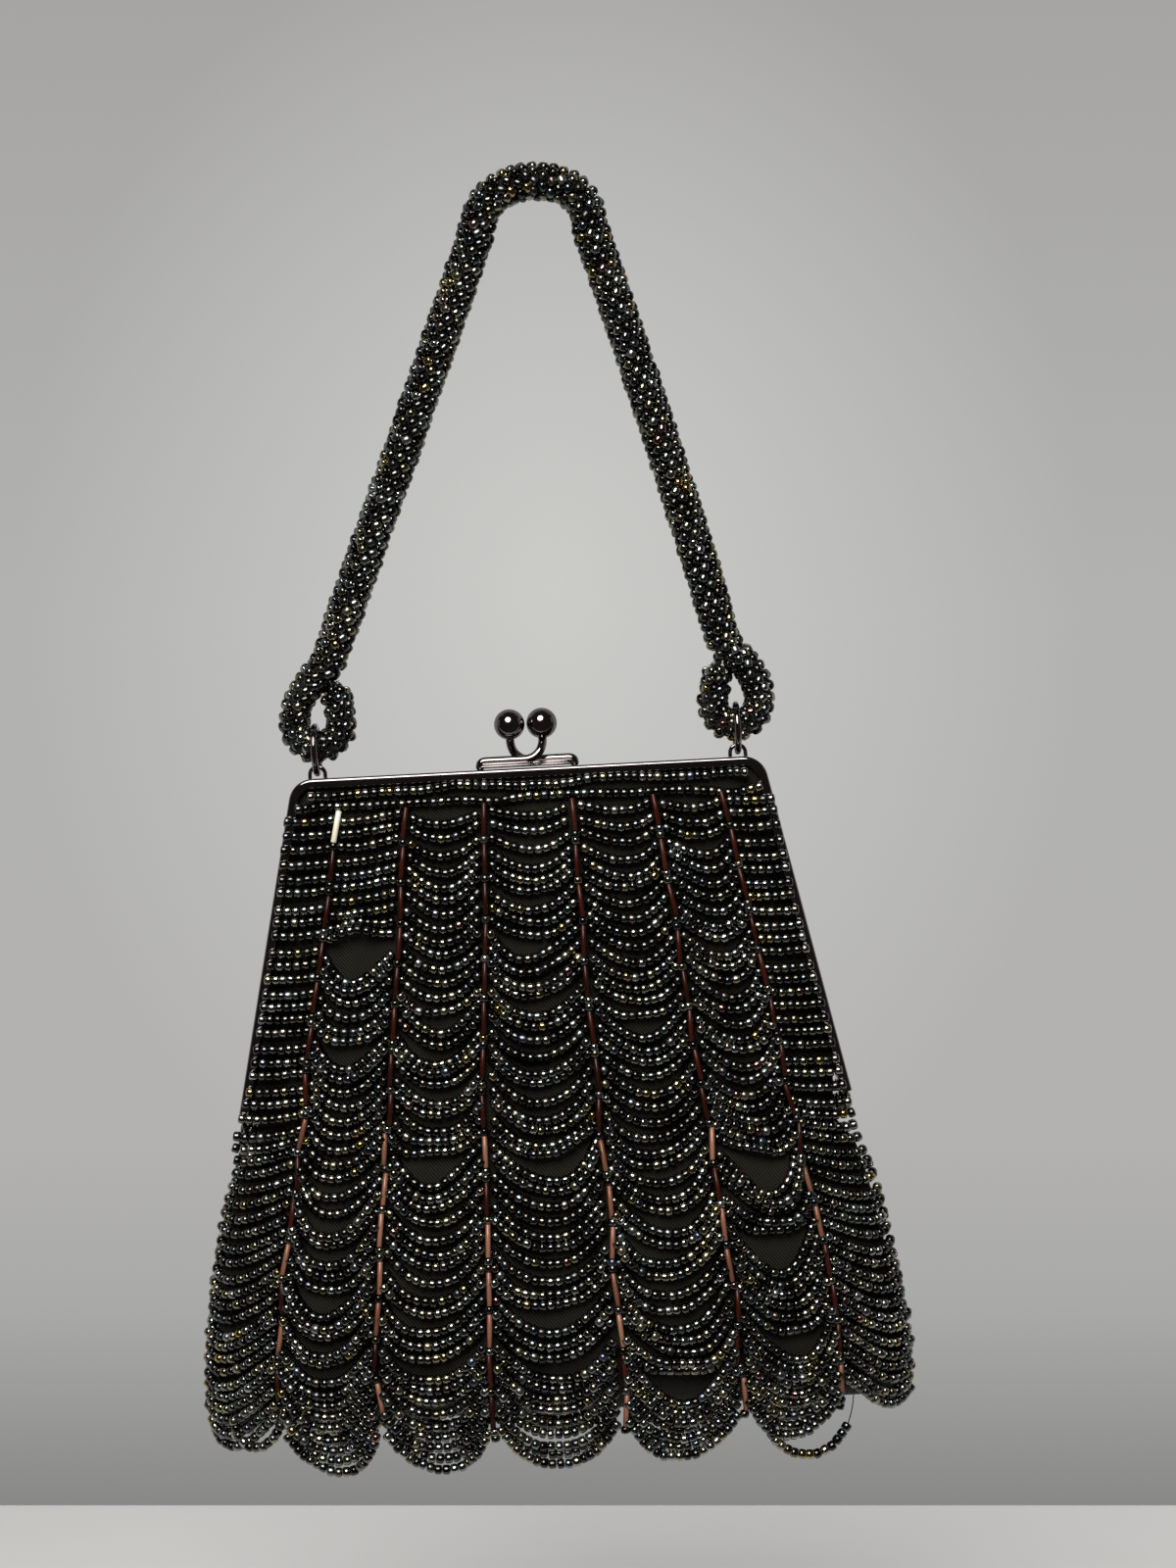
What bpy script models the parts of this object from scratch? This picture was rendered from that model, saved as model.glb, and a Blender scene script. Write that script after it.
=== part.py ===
# Beaded evening handbag with a snap frame and a bead-covered rope handle.
# Metres, +Z up. The front of the bag faces -Y, and the width runs along X.
# The origin is the point under the handle's bend that rests on a hook or a finger.

from math import asin, atan, copysign, cos, pi, radians, sin, sqrt

import bmesh
import bpy
from mathutils import Matrix, Vector

# Frame
FRAME_WIDTH = 0.106
FRAME_HEIGHT = 0.079
LEG_SPREAD = 0.01675
CORNER_RADIUS = 0.0055
RAIL_DEPTH = 0.00485
RAIL_HEIGHT = 0.0022
RAIL_WALL = 0.0009
SLOT_DEPTH = 0.0014
RAIL_ROUNDING = 0.0015
RAIL_EDGE = 0.0005
FRAME_GAP = 0.0003
LEG_END_CLEARANCE = 0.0028

# Frame hinges
LUG_RADIUS = 0.0022
LUG_THICKNESS = 0.0008
LUG_INSET = 0.0014
LUG_ROOT = 0.0022
RIVET_RADIUS = 0.0008
RIVET_HEAD_RADIUS = 0.0019
RIVET_HEAD_THICKNESS = 0.0007
RIVET_PLAY = 0.0003

# Kiss clasp
BALL_RADIUS = 0.0035
BALL_HEIGHT = 0.010
BALL_PASSING_GAP = 0.0003
BALL_CROSSING = 0.0006
CLASP_REACH = 0.0105
CLASP_OVERLAP = 0.0016
CLASP_WIRE_RADIUS = 0.001
CLASP_BASE_HEIGHT = 0.0006
CLASP_STEP_HEIGHT = 0.0005
CLASP_BASE_DEPTH = 0.0040
CLASP_STEP_DEPTH = 0.0030
CLASP_BORE_PLAY = 0.0003
CLASP_BORE_DEPTH = 0.0015

# Handle
HANDLE_RISE = 0.129
APEX_SHIFT = 0.008
CARRY_SETBACK = 0.0012
ROPE_RADIUS = 0.0041
LOOP_ROPE_RADIUS = 0.0037
CORE_RADIUS = 0.0020
CORE_PLAY = 0.0003
CORE_RECESS = 0.0004
BEND_HALF_WIDTH = 0.0103
BEND_DROP = 0.0038
LEG_BOW = 0.0008
LOOP_SHIFT = 0.0004
LOOP_PLAY = 0.00055
STITCH_RADIUS = 0.0007
STITCH_HALF_LENGTH = 0.0012

# Rings and their eyes
RING_INSET = 0.0052
RING_WIRE_RADIUS = 0.00075
RING_PLAY = 0.0003
RING_SEAT = 0.0005
EYE_WIRE_RADIUS = 0.00045
EYE_SIDE_PLAY = 0.00055
EYE_PLAY = 0.0003
EYE_ROOT = 0.0008

# Bag body
BODY_HEIGHT = 0.145
BODY_HALF_WIDTH = 0.077
BODY_HALF_DEPTH = 0.0136
RAIL_HALF_DEPTH = 0.0029
HINGE_HALF_DEPTH = 0.0082
EDGE_SETBACK = 0.0025
SHELL_THICKNESS = 0.0008
LINING_THICKNESS = 0.0004
LAYER_GAP = 0.0003
EDGE_IN_SLOT = 0.0009
HINGE_CLEARANCE = 0.0003
FOLD_ABOVE_HINGE = 0.011
FOLD_BELOW_HINGE = 0.0033
FOLD_GAP = 0.0006

# Bead curtain
BEAD_LAYER = 0.0021
BEAD_CLEARANCE = 0.0005
BUGLE_RADIUS = 0.00075
HEM_OVERHANG = 0.001
SIDE_HEM_RISE = 0.005
SCALLOP_DROP = 0.009
BEAD_VALLEY = 0.0006
RAIL_ROW_LEVELS = (0.0041, 0.0070)
FIRST_STRING = 0.0092
HEM_STRING_RISE = 0.0012
SIDE_STRING_RISE = 0.0068
TOP_SAG = 0.0034
SIDE_DROP = 0.0045
SIDE_SAG = 0.005
SIDE_TOP_SAG = 0.0003
SIDE_SWAG_ONSET = 0.062
STRING_COUNT = 46
SIDE_STRING_COUNT = 44
CLOSE_STRINGS = 7
BUGLE_START = 0.0012
BEAD_EDGE_PLAY = 0.0005

# Shares of the sizes above
COLUMN_SHARES = (-0.80, -0.515, -0.19, 0.18, 0.525, 0.81)
UPPER_LEVEL_SHARES = (0.040, 0.082, 0.57)
UPPER_DEPTH_SHARES = (0.05, 0.12, 0.67)
POUCH_LEVEL_SHARES = (0.14, 0.27, 0.46, 0.66, 0.80, 0.90, 0.965, 1.0)
POUCH_WIDTH_SHARES = (0.896, 0.927, 0.961, 0.986, 1.0, 0.999, 0.984, 0.955)
POUCH_DEPTH_SHARES = (0.676, 0.772, 0.897, 0.985, 1.0, 0.875, 0.60, 0.0)
POUCH_ROUND_SHARES = (0.75, 0.5, 0.5, 0.5, 0.5, 0.5, 0.5, 0.5)
HANGING_FROM_LEVEL = 4
HANGING_WIDTH_SHARE = 0.04
HEM_WIDTH_SHARE = 0.935
HEM_DEPTH_SHARE = 0.919
STRING_GROWTH_SHARE = 0.16
SIDE_GROWTH_SHARE = -0.23
CLOSE_STRING_SHARE = 0.75
SAG_GROWTH_POWER = 0.7
LINING_WIDTH_SHARE = 0.976
LOOP_SHARES = (
    (1.09, 2.22),
    (1.02, 1.60),
    (1.00, 1.04),
    (0.85, 0.48),
    (0.48, 0.11),
    (0.0, 0.0),
    (-0.48, 0.11),
    (-0.87, 0.50),
    (-1.00, 1.09),
    (-0.91, 1.74),
    (-0.61, 2.33),
    (-0.17, 2.89),
    (0.31, 3.44),
)
LEG_SHARES = (0.12, 0.32, 0.52, 0.72, 0.90)
ARM_SHARES = (
    (0.0, 0.0, 0.0),
    (0.40, 0.0, 0.08),
    (0.75, 0.20, 0.35),
    (1.0, 0.75, 0.68),
    (1.0, 1.0, 0.72),
    (1.0, 1.0, 1.0),
)

# How finely round shapes are drawn
CORNER_STEPS = 6
LUG_STEPS = 10
HOLE_STEPS = 12
RIVET_STEPS = 12
EYE_STEPS = 8
ARM_SIDE_STEPS = 2
BALL_STEPS = 14
BALL_PROFILE_STEPS = 9
ROPE_SIDE_STEPS = 2
ROPE_PATH_STEPS = 2
ROPE_BLEND_POINTS = 3
KNOT_STEPS = 8
RING_STEPS = 20
WIRE_STEPS = 8
SIDE_PANEL_STEPS = 4
PANEL_STEPS = 2
SWAG_STEPS = 3
ROUNDING_ANGLES = (15, 50, 90)
SHARP_ANGLE = 40
TINY = 0.00001
SLOPE_STEP = 0.0005
TURN_STEP = radians(1.5)

# Worked out from the sizes above
LEAN = atan(LEG_SPREAD / FRAME_HEIGHT)
CORNER_CENTRE = FRAME_WIDTH / 2 - CORNER_RADIUS * (1 - sin(LEAN)) / cos(LEAN)
EYE_TOP = RING_SEAT + 2 * RING_WIRE_RADIUS + EYE_PLAY + 2 * EYE_WIRE_RADIUS
STRAND_HEIGHT = EYE_TOP + RING_PLAY + LOOP_ROPE_RADIUS
RING_TOP = STRAND_HEIGHT + LOOP_ROPE_RADIUS + RING_PLAY + 2 * RING_WIRE_RADIUS
RING_RADIUS = (RING_TOP - RING_SEAT) / 2 - RING_WIRE_RADIUS
RING_CENTRE = (RING_TOP + RING_SEAT) / 2
LOOP_RADIUS = LOOP_ROPE_RADIUS + RING_WIRE_RADIUS + LOOP_SHIFT + LOOP_PLAY
RING_SPACING = FRAME_WIDTH - 2 * RING_INSET
FRAME_TOP = -HANDLE_RISE
HINGE_LEVEL = FRAME_TOP - FRAME_HEIGHT
BAG_X = -APEX_SHIFT
BAG_Y = -CARRY_SETBACK
LEG_END = FRAME_HEIGHT - LEG_END_CLEARANCE
SLOT_INSET = RAIL_HEIGHT - EDGE_IN_SLOT
BEAD_INSET = RAIL_HEIGHT + BEAD_EDGE_PLAY
BEAD_OFFSET = SHELL_THICKNESS + BEAD_CLEARANCE
BEAD_TOP = UPPER_LEVEL_SHARES[0] * FRAME_HEIGHT
POUCH_HEIGHT = BODY_HEIGHT - FRAME_HEIGHT
HEM_HEIGHT = BODY_HEIGHT + HEM_OVERHANG
HEM_HALF_WIDTH = HEM_WIDTH_SHARE * BODY_HALF_WIDTH
HEM_HALF_DEPTH = HEM_DEPTH_SHARE * BODY_HALF_DEPTH
FRONT_LEVELS_END = FRAME_HEIGHT - FOLD_ABOVE_HINGE
POUCH_TOP = FRAME_HEIGHT + FOLD_BELOW_HINGE
LUG_OUTER_X = FRAME_WIDTH / 2 + LEG_SPREAD - LUG_INSET
RIVET_INNER_X = LUG_OUTER_X - 2 * LUG_THICKNESS - 2 * RIVET_PLAY - RIVET_HEAD_THICKNESS
HINGE_HALF_WIDTH = RIVET_INNER_X - HINGE_CLEARANCE - LAYER_GAP


def make_collection(name):
    collection = bpy.data.collections.new(name)
    bpy.context.scene.collection.children.link(collection)
    return collection


def make_material(name, colour, roughness, metallic):
    material = bpy.data.materials.new(name)
    material.use_nodes = True
    shader = material.node_tree.nodes["Principled BSDF"]
    shader.inputs["Base Color"].default_value = (*colour, 1.0)
    shader.inputs["Roughness"].default_value = roughness
    shader.inputs["Metallic"].default_value = metallic
    return material


FINISHES = {
    "dark_nickel": ((0.035, 0.033, 0.035), 0.18, 1.0),
    "seed_beads": ((0.045, 0.043, 0.036), 0.22, 0.6),
    "bugle_beads": ((0.060, 0.022, 0.010), 0.15, 0.2),
    "faille": ((0.014, 0.013, 0.010), 0.75, 0.0),
    "satin": ((0.012, 0.012, 0.012), 0.45, 0.0),
    "cotton": ((0.02, 0.02, 0.022), 0.9, 0.0),
}


def finish(obj, finish_name, parent, collection):
    """Gives an object its own material, its parent and its collection, and shades it smooth."""
    obj.data.materials.clear()
    obj.data.materials.append(make_material(obj.name, *FINISHES[finish_name]))
    collection.objects.link(obj)
    if parent is not None:
        obj.parent = parent
        obj.matrix_parent_inverse = Matrix.Translation(-parent.location)
    if obj.type == "MESH":
        obj.data.shade_smooth()
        obj.data.set_sharp_from_angle(angle=radians(SHARP_ANGLE))
    return obj


def make_empty(name, place, collection):
    empty = bpy.data.objects.new(name, None)
    empty.location = place
    collection.objects.link(empty)
    return empty


def poly_curve(name, points, dimensions="3D", cyclic=False, radii=None):
    curve = bpy.data.curves.new(name, "CURVE")
    curve.dimensions = dimensions
    spline = curve.splines.new("POLY")
    spline.points.add(len(points) - 1)
    for number, (point, place) in enumerate(zip(spline.points, points)):
        flat = (*place, 0.0) if len(place) == 2 else place
        point.co = (*flat, 1.0)
        point.radius = 1.0 if radii is None else radii[number]
    spline.use_cyclic_u = cyclic
    return curve


def tube(name, points, radius, side_steps, capped=True, radii=None):
    """A round wire or rope along points."""
    curve = poly_curve(name, points, radii=radii)
    curve.bevel_depth = radius
    curve.bevel_resolution = side_steps
    curve.use_fill_caps = capped
    return bpy.data.objects.new(name, curve)


def as_mesh(source, name):
    """A mesh copy of a curve object with its caps welded. The curve is removed."""
    bpy.context.scene.collection.objects.link(source)
    graph = bpy.context.evaluated_depsgraph_get()
    mesh = bpy.data.meshes.new_from_object(source.evaluated_get(graph))
    place = source.matrix_world.copy()
    bpy.data.objects.remove(source)
    solid = bmesh.new()
    solid.from_mesh(mesh)
    bmesh.ops.remove_doubles(solid, verts=solid.verts, dist=TINY)
    bmesh.ops.recalc_face_normals(solid, faces=solid.faces)
    solid.to_mesh(mesh)
    solid.free()
    made = bpy.data.objects.new(name, mesh)
    made.matrix_world = place
    return made


def place_mesh(obj, matrix):
    obj.data.transform(matrix)
    return obj


def add_boolean(target, tool, operation):
    modifier = target.modifiers.new(tool.name, "BOOLEAN")
    modifier.operation = operation
    modifier.solver = "EXACT"
    modifier.object = tool


def as_cutter(obj, collection):
    obj.hide_render = True
    obj.display_type = "WIRE"
    collection.objects.link(obj)
    return obj


def turned(name, profile, steps):
    """A piece turned about its own Z from a profile of (radius, height), top to bottom."""
    mesh = bpy.data.meshes.new(name)
    points = [(radius, 0.0, height) for radius, height in profile]
    edges = [(number, number + 1) for number in range(len(points) - 1)]
    mesh.from_pydata(points, edges, [])
    obj = bpy.data.objects.new(name, mesh)
    screw = obj.modifiers.new("turn", "SCREW")
    screw.axis = "Z"
    screw.steps = steps
    screw.render_steps = steps
    screw.use_merge_vertices = True
    screw.merge_threshold = TINY
    screw.use_smooth_shade = True
    return obj


def extruded(name, outline, holes, thickness):
    """A flat plate in its own XY plane, centred on its thickness."""
    curve = poly_curve(name, outline, "2D", True)
    for hole in holes:
        spline = curve.splines.new("POLY")
        spline.points.add(len(hole) - 1)
        for point, place in zip(spline.points, hole):
            point.co = (*place, 0.0, 1.0)
        spline.use_cyclic_u = True
    curve.fill_mode = "BOTH"
    curve.extrude = thickness / 2
    return bpy.data.objects.new(name, curve)


def circle(centre, radius, steps):
    turns = [2 * pi * number / steps for number in range(steps)]
    return [(centre[0] + radius * cos(turn), centre[1] + radius * sin(turn)) for turn in turns]


def split(start, end, steps):
    return [start + (end - start) * step / steps for step in range(steps + 1)]


def smooth_path(points, steps):
    """Points along a Catmull-Rom curve through the given points."""
    knots = [Vector(point) for point in points]
    knots = [2 * knots[0] - knots[1], *knots, 2 * knots[-1] - knots[-2]]
    path = []
    for number in range(1, len(knots) - 2):
        before, start, end, after = knots[number - 1 : number + 3]
        for step in range(steps):
            t = step / steps
            bend = 2 * before - 5 * start + 4 * end - after
            twist = 3 * start - before - 3 * end + after
            path.append((2 * start + (end - before) * t + bend * t**2 + twist * t**3) / 2)
    path.append(knots[-2])
    return path


# Frame halves


def rail_half_width(level, inset=0.0):
    """Half the frame's width at a level under its top, measured to its outline less inset."""
    radius = CORNER_RADIUS - inset
    if level >= CORNER_RADIUS - radius * sin(LEAN):
        return FRAME_WIDTH / 2 + level * LEG_SPREAD / FRAME_HEIGHT - inset / cos(LEAN)
    rise = max(CORNER_RADIUS - level, 0.0)
    return CORNER_CENTRE + sqrt(max(radius**2 - rise**2, 0.0))


def rail_outline():
    """The frame's outer outline as (x, z) under the frame top, from one leg end to the other."""
    right = []
    for step in range(CORNER_STEPS + 1):
        turn = pi / 2 - (pi / 2 - LEAN) * step / CORNER_STEPS
        across = CORNER_CENTRE + CORNER_RADIUS * cos(turn)
        right.append((across, CORNER_RADIUS * sin(turn) - CORNER_RADIUS))
    right.append((rail_half_width(LEG_END), -LEG_END))
    return [(-x, z) for x, z in reversed(right)] + right


def rail_section(side):
    """The rolled channel's section as (inward, forward). Its slot is open to the fabric."""
    near = FRAME_GAP / 2
    far = near + RAIL_DEPTH
    rounding = [
        (RAIL_ROUNDING * (1 - cos(turn)), far - RAIL_ROUNDING * (1 - sin(turn)))
        for turn in map(radians, ROUNDING_ANGLES)
    ]
    corners = [
        (RAIL_HEIGHT, near),
        (RAIL_EDGE, near),
        (0.0, near + RAIL_EDGE),
        *rounding,
        (RAIL_HEIGHT, far),
        (RAIL_HEIGHT, far - RAIL_WALL),
        (RAIL_HEIGHT - SLOT_DEPTH, far - RAIL_WALL),
        (RAIL_HEIGHT - SLOT_DEPTH, near + RAIL_WALL),
        (RAIL_HEIGHT, near + RAIL_WALL),
    ]
    points = [(inward, side * forward) for inward, forward in corners]
    return points if side < 0 else points[::-1]


def hinge_lug(name, side, hand, across):
    """A leg's flattened end: a plate that reaches from the leg to the hinge axis."""
    near = FRAME_GAP / 2 + RAIL_EDGE
    far = FRAME_GAP / 2 + RAIL_DEPTH - RAIL_ROUNDING / 2
    top = LEG_END_CLEARANCE + LUG_ROOT
    start = asin(near / LUG_RADIUS)
    arc = split(start, 3 * pi / 2, LUG_STEPS)
    outline = [(-far, LEG_END_CLEARANCE), (-far, top), (-near, top)]
    outline += [(LUG_RADIUS * sin(turn - 2 * start), LUG_RADIUS * cos(turn - 2 * start)) for turn in arc]
    hole = circle((0.0, 0.0), RIVET_RADIUS + RIVET_PLAY, HOLE_STEPS)
    plate = extruded(name, outline, [hole], LUG_THICKNESS)
    lug = as_mesh(plate, name)
    upright = Matrix(((0, 0, 1, 0), (1, 0, 0, 0), (0, 1, 0, 0), (0, 0, 0, 1)))
    flip = Matrix.Diagonal((1, -side, 1, 1))
    place_mesh(lug, flip @ upright)
    if side > 0:
        lug.data.flip_normals()
    middle = hand * (across - LUG_THICKNESS / 2)
    return place_mesh(lug, Matrix.Translation((BAG_X + middle, BAG_Y, HINGE_LEVEL)))


def ring_eye(name, hand):
    """The small arch on the rear rail that a handle ring passes through."""
    middle = RING_WIRE_RADIUS + EYE_SIDE_PLAY + EYE_WIRE_RADIUS
    centre = EYE_TOP - EYE_WIRE_RADIUS - middle
    turns = split(0.0, pi, EYE_STEPS)
    arch = [(middle * cos(turn), 0.0, centre + middle * sin(turn)) for turn in turns]
    points = [(middle, 0.0, -EYE_ROOT), *arch, (-middle, 0.0, -EYE_ROOT)]
    eye = as_mesh(tube(name, points, EYE_WIRE_RADIUS, 1), name)
    return place_mesh(eye, Matrix.Translation((ring_x(hand), 0.0, FRAME_TOP)))


def frame_half(name, side, parent, parts, cutters):
    """One half of the snap frame, from a rolled channel with its two hinge lugs."""
    channel = poly_curve(name + "_section", rail_section(-side), "2D", True)
    section = bpy.data.objects.new(name + "_section", channel)
    as_cutter(section, cutters)
    path = poly_curve(name, rail_outline(), "2D")
    path.bevel_mode = "OBJECT"
    path.bevel_object = section
    path.use_fill_caps = True
    rail = as_mesh(bpy.data.objects.new(name, path), name)
    upright = Matrix.Translation((BAG_X, BAG_Y, FRAME_TOP)) @ Matrix.Rotation(pi / 2, 4, "X")
    place_mesh(rail, upright)
    layer = 0.0 if side < 0 else LUG_THICKNESS + RIVET_PLAY
    for hand, hand_name in ((-1, "left"), (1, "right")):
        lug = hinge_lug(f"{name}_lug_{hand_name}", side, hand, LUG_OUTER_X - layer)
        add_boolean(rail, as_cutter(lug, cutters), "UNION")
        if side > 0:
            eye = ring_eye(f"{name}_eye_{hand_name}", hand)
            add_boolean(rail, as_cutter(eye, cutters), "UNION")
    return finish(rail, "dark_nickel", parent, parts)


def hinge_rivet(name, hand, parent, parts):
    """The headed pin that both lugs turn on."""
    shaft = 2 * LUG_THICKNESS + 3 * RIVET_PLAY
    head = RIVET_HEAD_THICKNESS
    profile = [
        (0.0, shaft + head),
        (RIVET_HEAD_RADIUS - RIVET_RADIUS / 2, shaft + head),
        (RIVET_HEAD_RADIUS, shaft + head / 2),
        (RIVET_HEAD_RADIUS, shaft),
        (RIVET_RADIUS, shaft),
        (RIVET_RADIUS, 0.0),
        (RIVET_HEAD_RADIUS, 0.0),
        (RIVET_HEAD_RADIUS - RIVET_RADIUS / 2, -head),
        (0.0, -head),
    ]
    rivet = turned(name, profile, RIVET_STEPS)
    start = LUG_OUTER_X - 2 * LUG_THICKNESS - 2 * RIVET_PLAY
    rivet.location = (BAG_X + hand * start, BAG_Y, HINGE_LEVEL)
    rivet.rotation_euler = (0.0, hand * pi / 2, 0.0)
    return finish(rivet, "dark_nickel", parent, parts)


# Kiss clasp


def clasp_half(name, side, parent, parts, cutters):
    """A stepped base on the rail with a round wire that runs along it and up to the ball."""
    middle = FRAME_GAP / 2 + RAIL_DEPTH / 2
    low = LAYER_GAP
    step_top = low + CLASP_BASE_HEIGHT + CLASP_STEP_HEIGHT
    base = CLASP_BASE_DEPTH / 2
    step = CLASP_STEP_DEPTH / 2
    outline = [
        (-base, low),
        (base, low),
        (base, low + CLASP_BASE_HEIGHT),
        (step, low + CLASP_BASE_HEIGHT),
        (step, step_top),
        (-step, step_top),
        (-step, low + CLASP_BASE_HEIGHT),
        (-base, low + CLASP_BASE_HEIGHT),
    ]
    length = CLASP_REACH + CLASP_OVERLAP
    plate = as_mesh(extruded(name, outline, [], length), name)
    along = Matrix(((0, 0, 1, 0), (1, 0, 0, 0), (0, 1, 0, 0), (0, 0, 0, 1)))
    shift = Matrix.Translation(((CLASP_OVERLAP - CLASP_REACH) / 2, -middle, 0.0))
    place_mesh(plate, shift @ along)
    wire_height = step_top + CLASP_WIRE_RADIUS / 2
    ball_x = BALL_RADIUS + BALL_PASSING_GAP / 2
    top = BALL_HEIGHT - BALL_RADIUS + CLASP_BORE_DEPTH - CLASP_BORE_PLAY
    rise = top - wire_height
    start = CLASP_OVERLAP - 3 * CLASP_WIRE_RADIUS
    reach = ball_x - start
    lean = middle + BALL_CROSSING
    points = [(CLASP_WIRE_RADIUS / 2 - CLASP_REACH, -middle, wire_height)]
    for along, inward, up in ARM_SHARES:
        points.append((start + along * reach, inward * lean - middle, wire_height + up * rise))
    arm = as_mesh(tube(name + "_arm", points, CLASP_WIRE_RADIUS, ARM_SIDE_STEPS), name + "_arm")
    turn = Matrix.Rotation(0.0 if side < 0 else pi, 4, "Z")
    place = Matrix.Translation((BAG_X, BAG_Y, FRAME_TOP)) @ turn
    place_mesh(plate, place)
    place_mesh(arm, place)
    add_boolean(plate, as_cutter(arm, cutters), "UNION")
    return finish(plate, "dark_nickel", parent, parts)


def clasp_ball(name, side, parent, parts):
    """A ball with a blind bore underneath for the arm's end."""
    bore = CLASP_WIRE_RADIUS + CLASP_BORE_PLAY
    mouth = asin(bore / BALL_RADIUS)
    turns = split(0.0, pi - mouth, BALL_PROFILE_STEPS)
    profile = [(BALL_RADIUS * sin(turn), BALL_RADIUS * cos(turn)) for turn in turns]
    profile[0] = (0.0, BALL_RADIUS)
    floor = CLASP_BORE_DEPTH - BALL_RADIUS
    profile += [(bore, floor), (0.0, floor)]
    ball = turned(name, profile, BALL_STEPS)
    across = BALL_RADIUS + BALL_PASSING_GAP / 2
    ball.location = (BAG_X - side * across, BAG_Y - side * BALL_CROSSING, FRAME_TOP + BALL_HEIGHT)
    return finish(ball, "dark_nickel", parent, parts)


# Handle and rings


def ring_x(hand):
    return BAG_X + hand * RING_SPACING / 2


def loop_points(hand):
    """One end of the rope, from its tail round the loop and up to the leg, as (x, z)."""
    centre = ring_x(hand) - (LOOP_SHIFT * hand if hand < 0 else 0.0)
    low = FRAME_TOP + STRAND_HEIGHT
    return [(centre - hand * inward * LOOP_RADIUS, low + up * LOOP_RADIUS) for inward, up in LOOP_SHARES]


def leg_points(hand):
    """The leg's points above the loop, up to the shoulder of the bend."""
    start = Vector(loop_points(hand)[-1])
    shoulder = Vector((hand * BEND_HALF_WIDTH, ROPE_RADIUS - BEND_DROP))
    bow = Vector((hand * LEG_BOW, 0.0))
    points = [start + (shoulder - start) * share + bow * sin(pi * share) for share in LEG_SHARES]
    return [tuple(point) for point in points] + [tuple(shoulder)]


def handle_route():
    left = loop_points(-1) + leg_points(-1)
    right = loop_points(1) + leg_points(1)
    flat = left + [(0.0, ROPE_RADIUS)] + right[::-1]
    points = [(x, 0.0, z) for x, z in flat]
    path = smooth_path(points, ROPE_PATH_STEPS)
    thin = LOOP_ROPE_RADIUS / ROPE_RADIUS
    loop = len(LOOP_SHARES) * ROPE_PATH_STEPS
    blend = ROPE_BLEND_POINTS * ROPE_PATH_STEPS
    radii = []
    for number in range(len(path)):
        from_end = min(number, len(path) - 1 - number)
        share = min(max((from_end - loop + blend) / blend, 0.0), 1.0)
        radii.append(thin + (1.0 - thin) * share)
    return path, radii


def handle_beads(name, parent, parts):
    """The bead-crochet sleeve, hollow for its cord."""
    path, radii = handle_route()
    sleeve = tube(name, path, ROPE_RADIUS, ROPE_SIDE_STEPS, capped=False, radii=radii)
    wall = sleeve.modifiers.new("wall", "SOLIDIFY")
    wall.thickness = LOOP_ROPE_RADIUS - CORE_RADIUS - CORE_PLAY
    wall.offset = -1.0
    return finish(sleeve, "seed_beads", parent, parts)


def handle_core(name, parent, parts):
    path, _ = handle_route()
    first = path[0] + (path[1] - path[0]).normalized() * CORE_RECESS
    last = path[-1] + (path[-2] - path[-1]).normalized() * CORE_RECESS
    core = tube(name, [first, *path[1:-1], last], CORE_RADIUS, 1)
    return finish(core, "cotton", parent, parts)


def handle_stitch(name, hand, parent, parts):
    """The knot of thread between the rope's tail and its leg."""
    path, _ = handle_route()
    path = path if hand < 0 else path[::-1]
    tail = path[0]
    leg = min(path[len(path) // 4 :], key=lambda point: (point - tail).length)
    towards = (leg - tail).normalized()
    room = (leg - tail).length - LOOP_ROPE_RADIUS
    middle = tail + towards * (room - LAYER_GAP - STITCH_HALF_LENGTH)
    solid = bmesh.new()
    bmesh.ops.create_uvsphere(solid, u_segments=KNOT_STEPS, v_segments=KNOT_STEPS, radius=STITCH_HALF_LENGTH)
    width = STITCH_RADIUS / STITCH_HALF_LENGTH
    turn = Vector((0, 0, 1)).rotation_difference(towards).to_matrix().to_4x4()
    squeeze = Matrix.Diagonal((width, width, 1, 1))
    bmesh.ops.transform(solid, matrix=Matrix.Translation(middle) @ turn @ squeeze, verts=solid.verts)
    mesh = bpy.data.meshes.new(name)
    solid.to_mesh(mesh)
    solid.free()
    return finish(bpy.data.objects.new(name, mesh), "cotton", parent, parts)


def handle_ring(name, hand, parent, parts):
    ring = bpy.data.meshes.new(name)
    made = bpy.data.objects.new(name, ring)
    profile = circle((0.0, 0.0), RING_WIRE_RADIUS, WIRE_STEPS)
    solid = bmesh.new()
    rounds = []
    for step in range(RING_STEPS):
        turn = 2 * pi * step / RING_STEPS
        wire = [(x, (RING_RADIUS + y) * cos(turn), (RING_RADIUS + y) * sin(turn)) for x, y in profile]
        rounds.append([solid.verts.new(place) for place in wire])
    for here, there in zip(rounds, rounds[1:] + rounds[:1]):
        for number in range(len(profile)):
            after = (number + 1) % len(profile)
            solid.faces.new((here[number], here[after], there[after], there[number]))
    bmesh.ops.recalc_face_normals(solid, faces=solid.faces)
    solid.to_mesh(ring)
    solid.free()
    ring.transform(Matrix.Translation((ring_x(hand), 0.0, FRAME_TOP + RING_CENTRE)))
    return finish(made, "dark_nickel", parent, parts)


# Bag body


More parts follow.
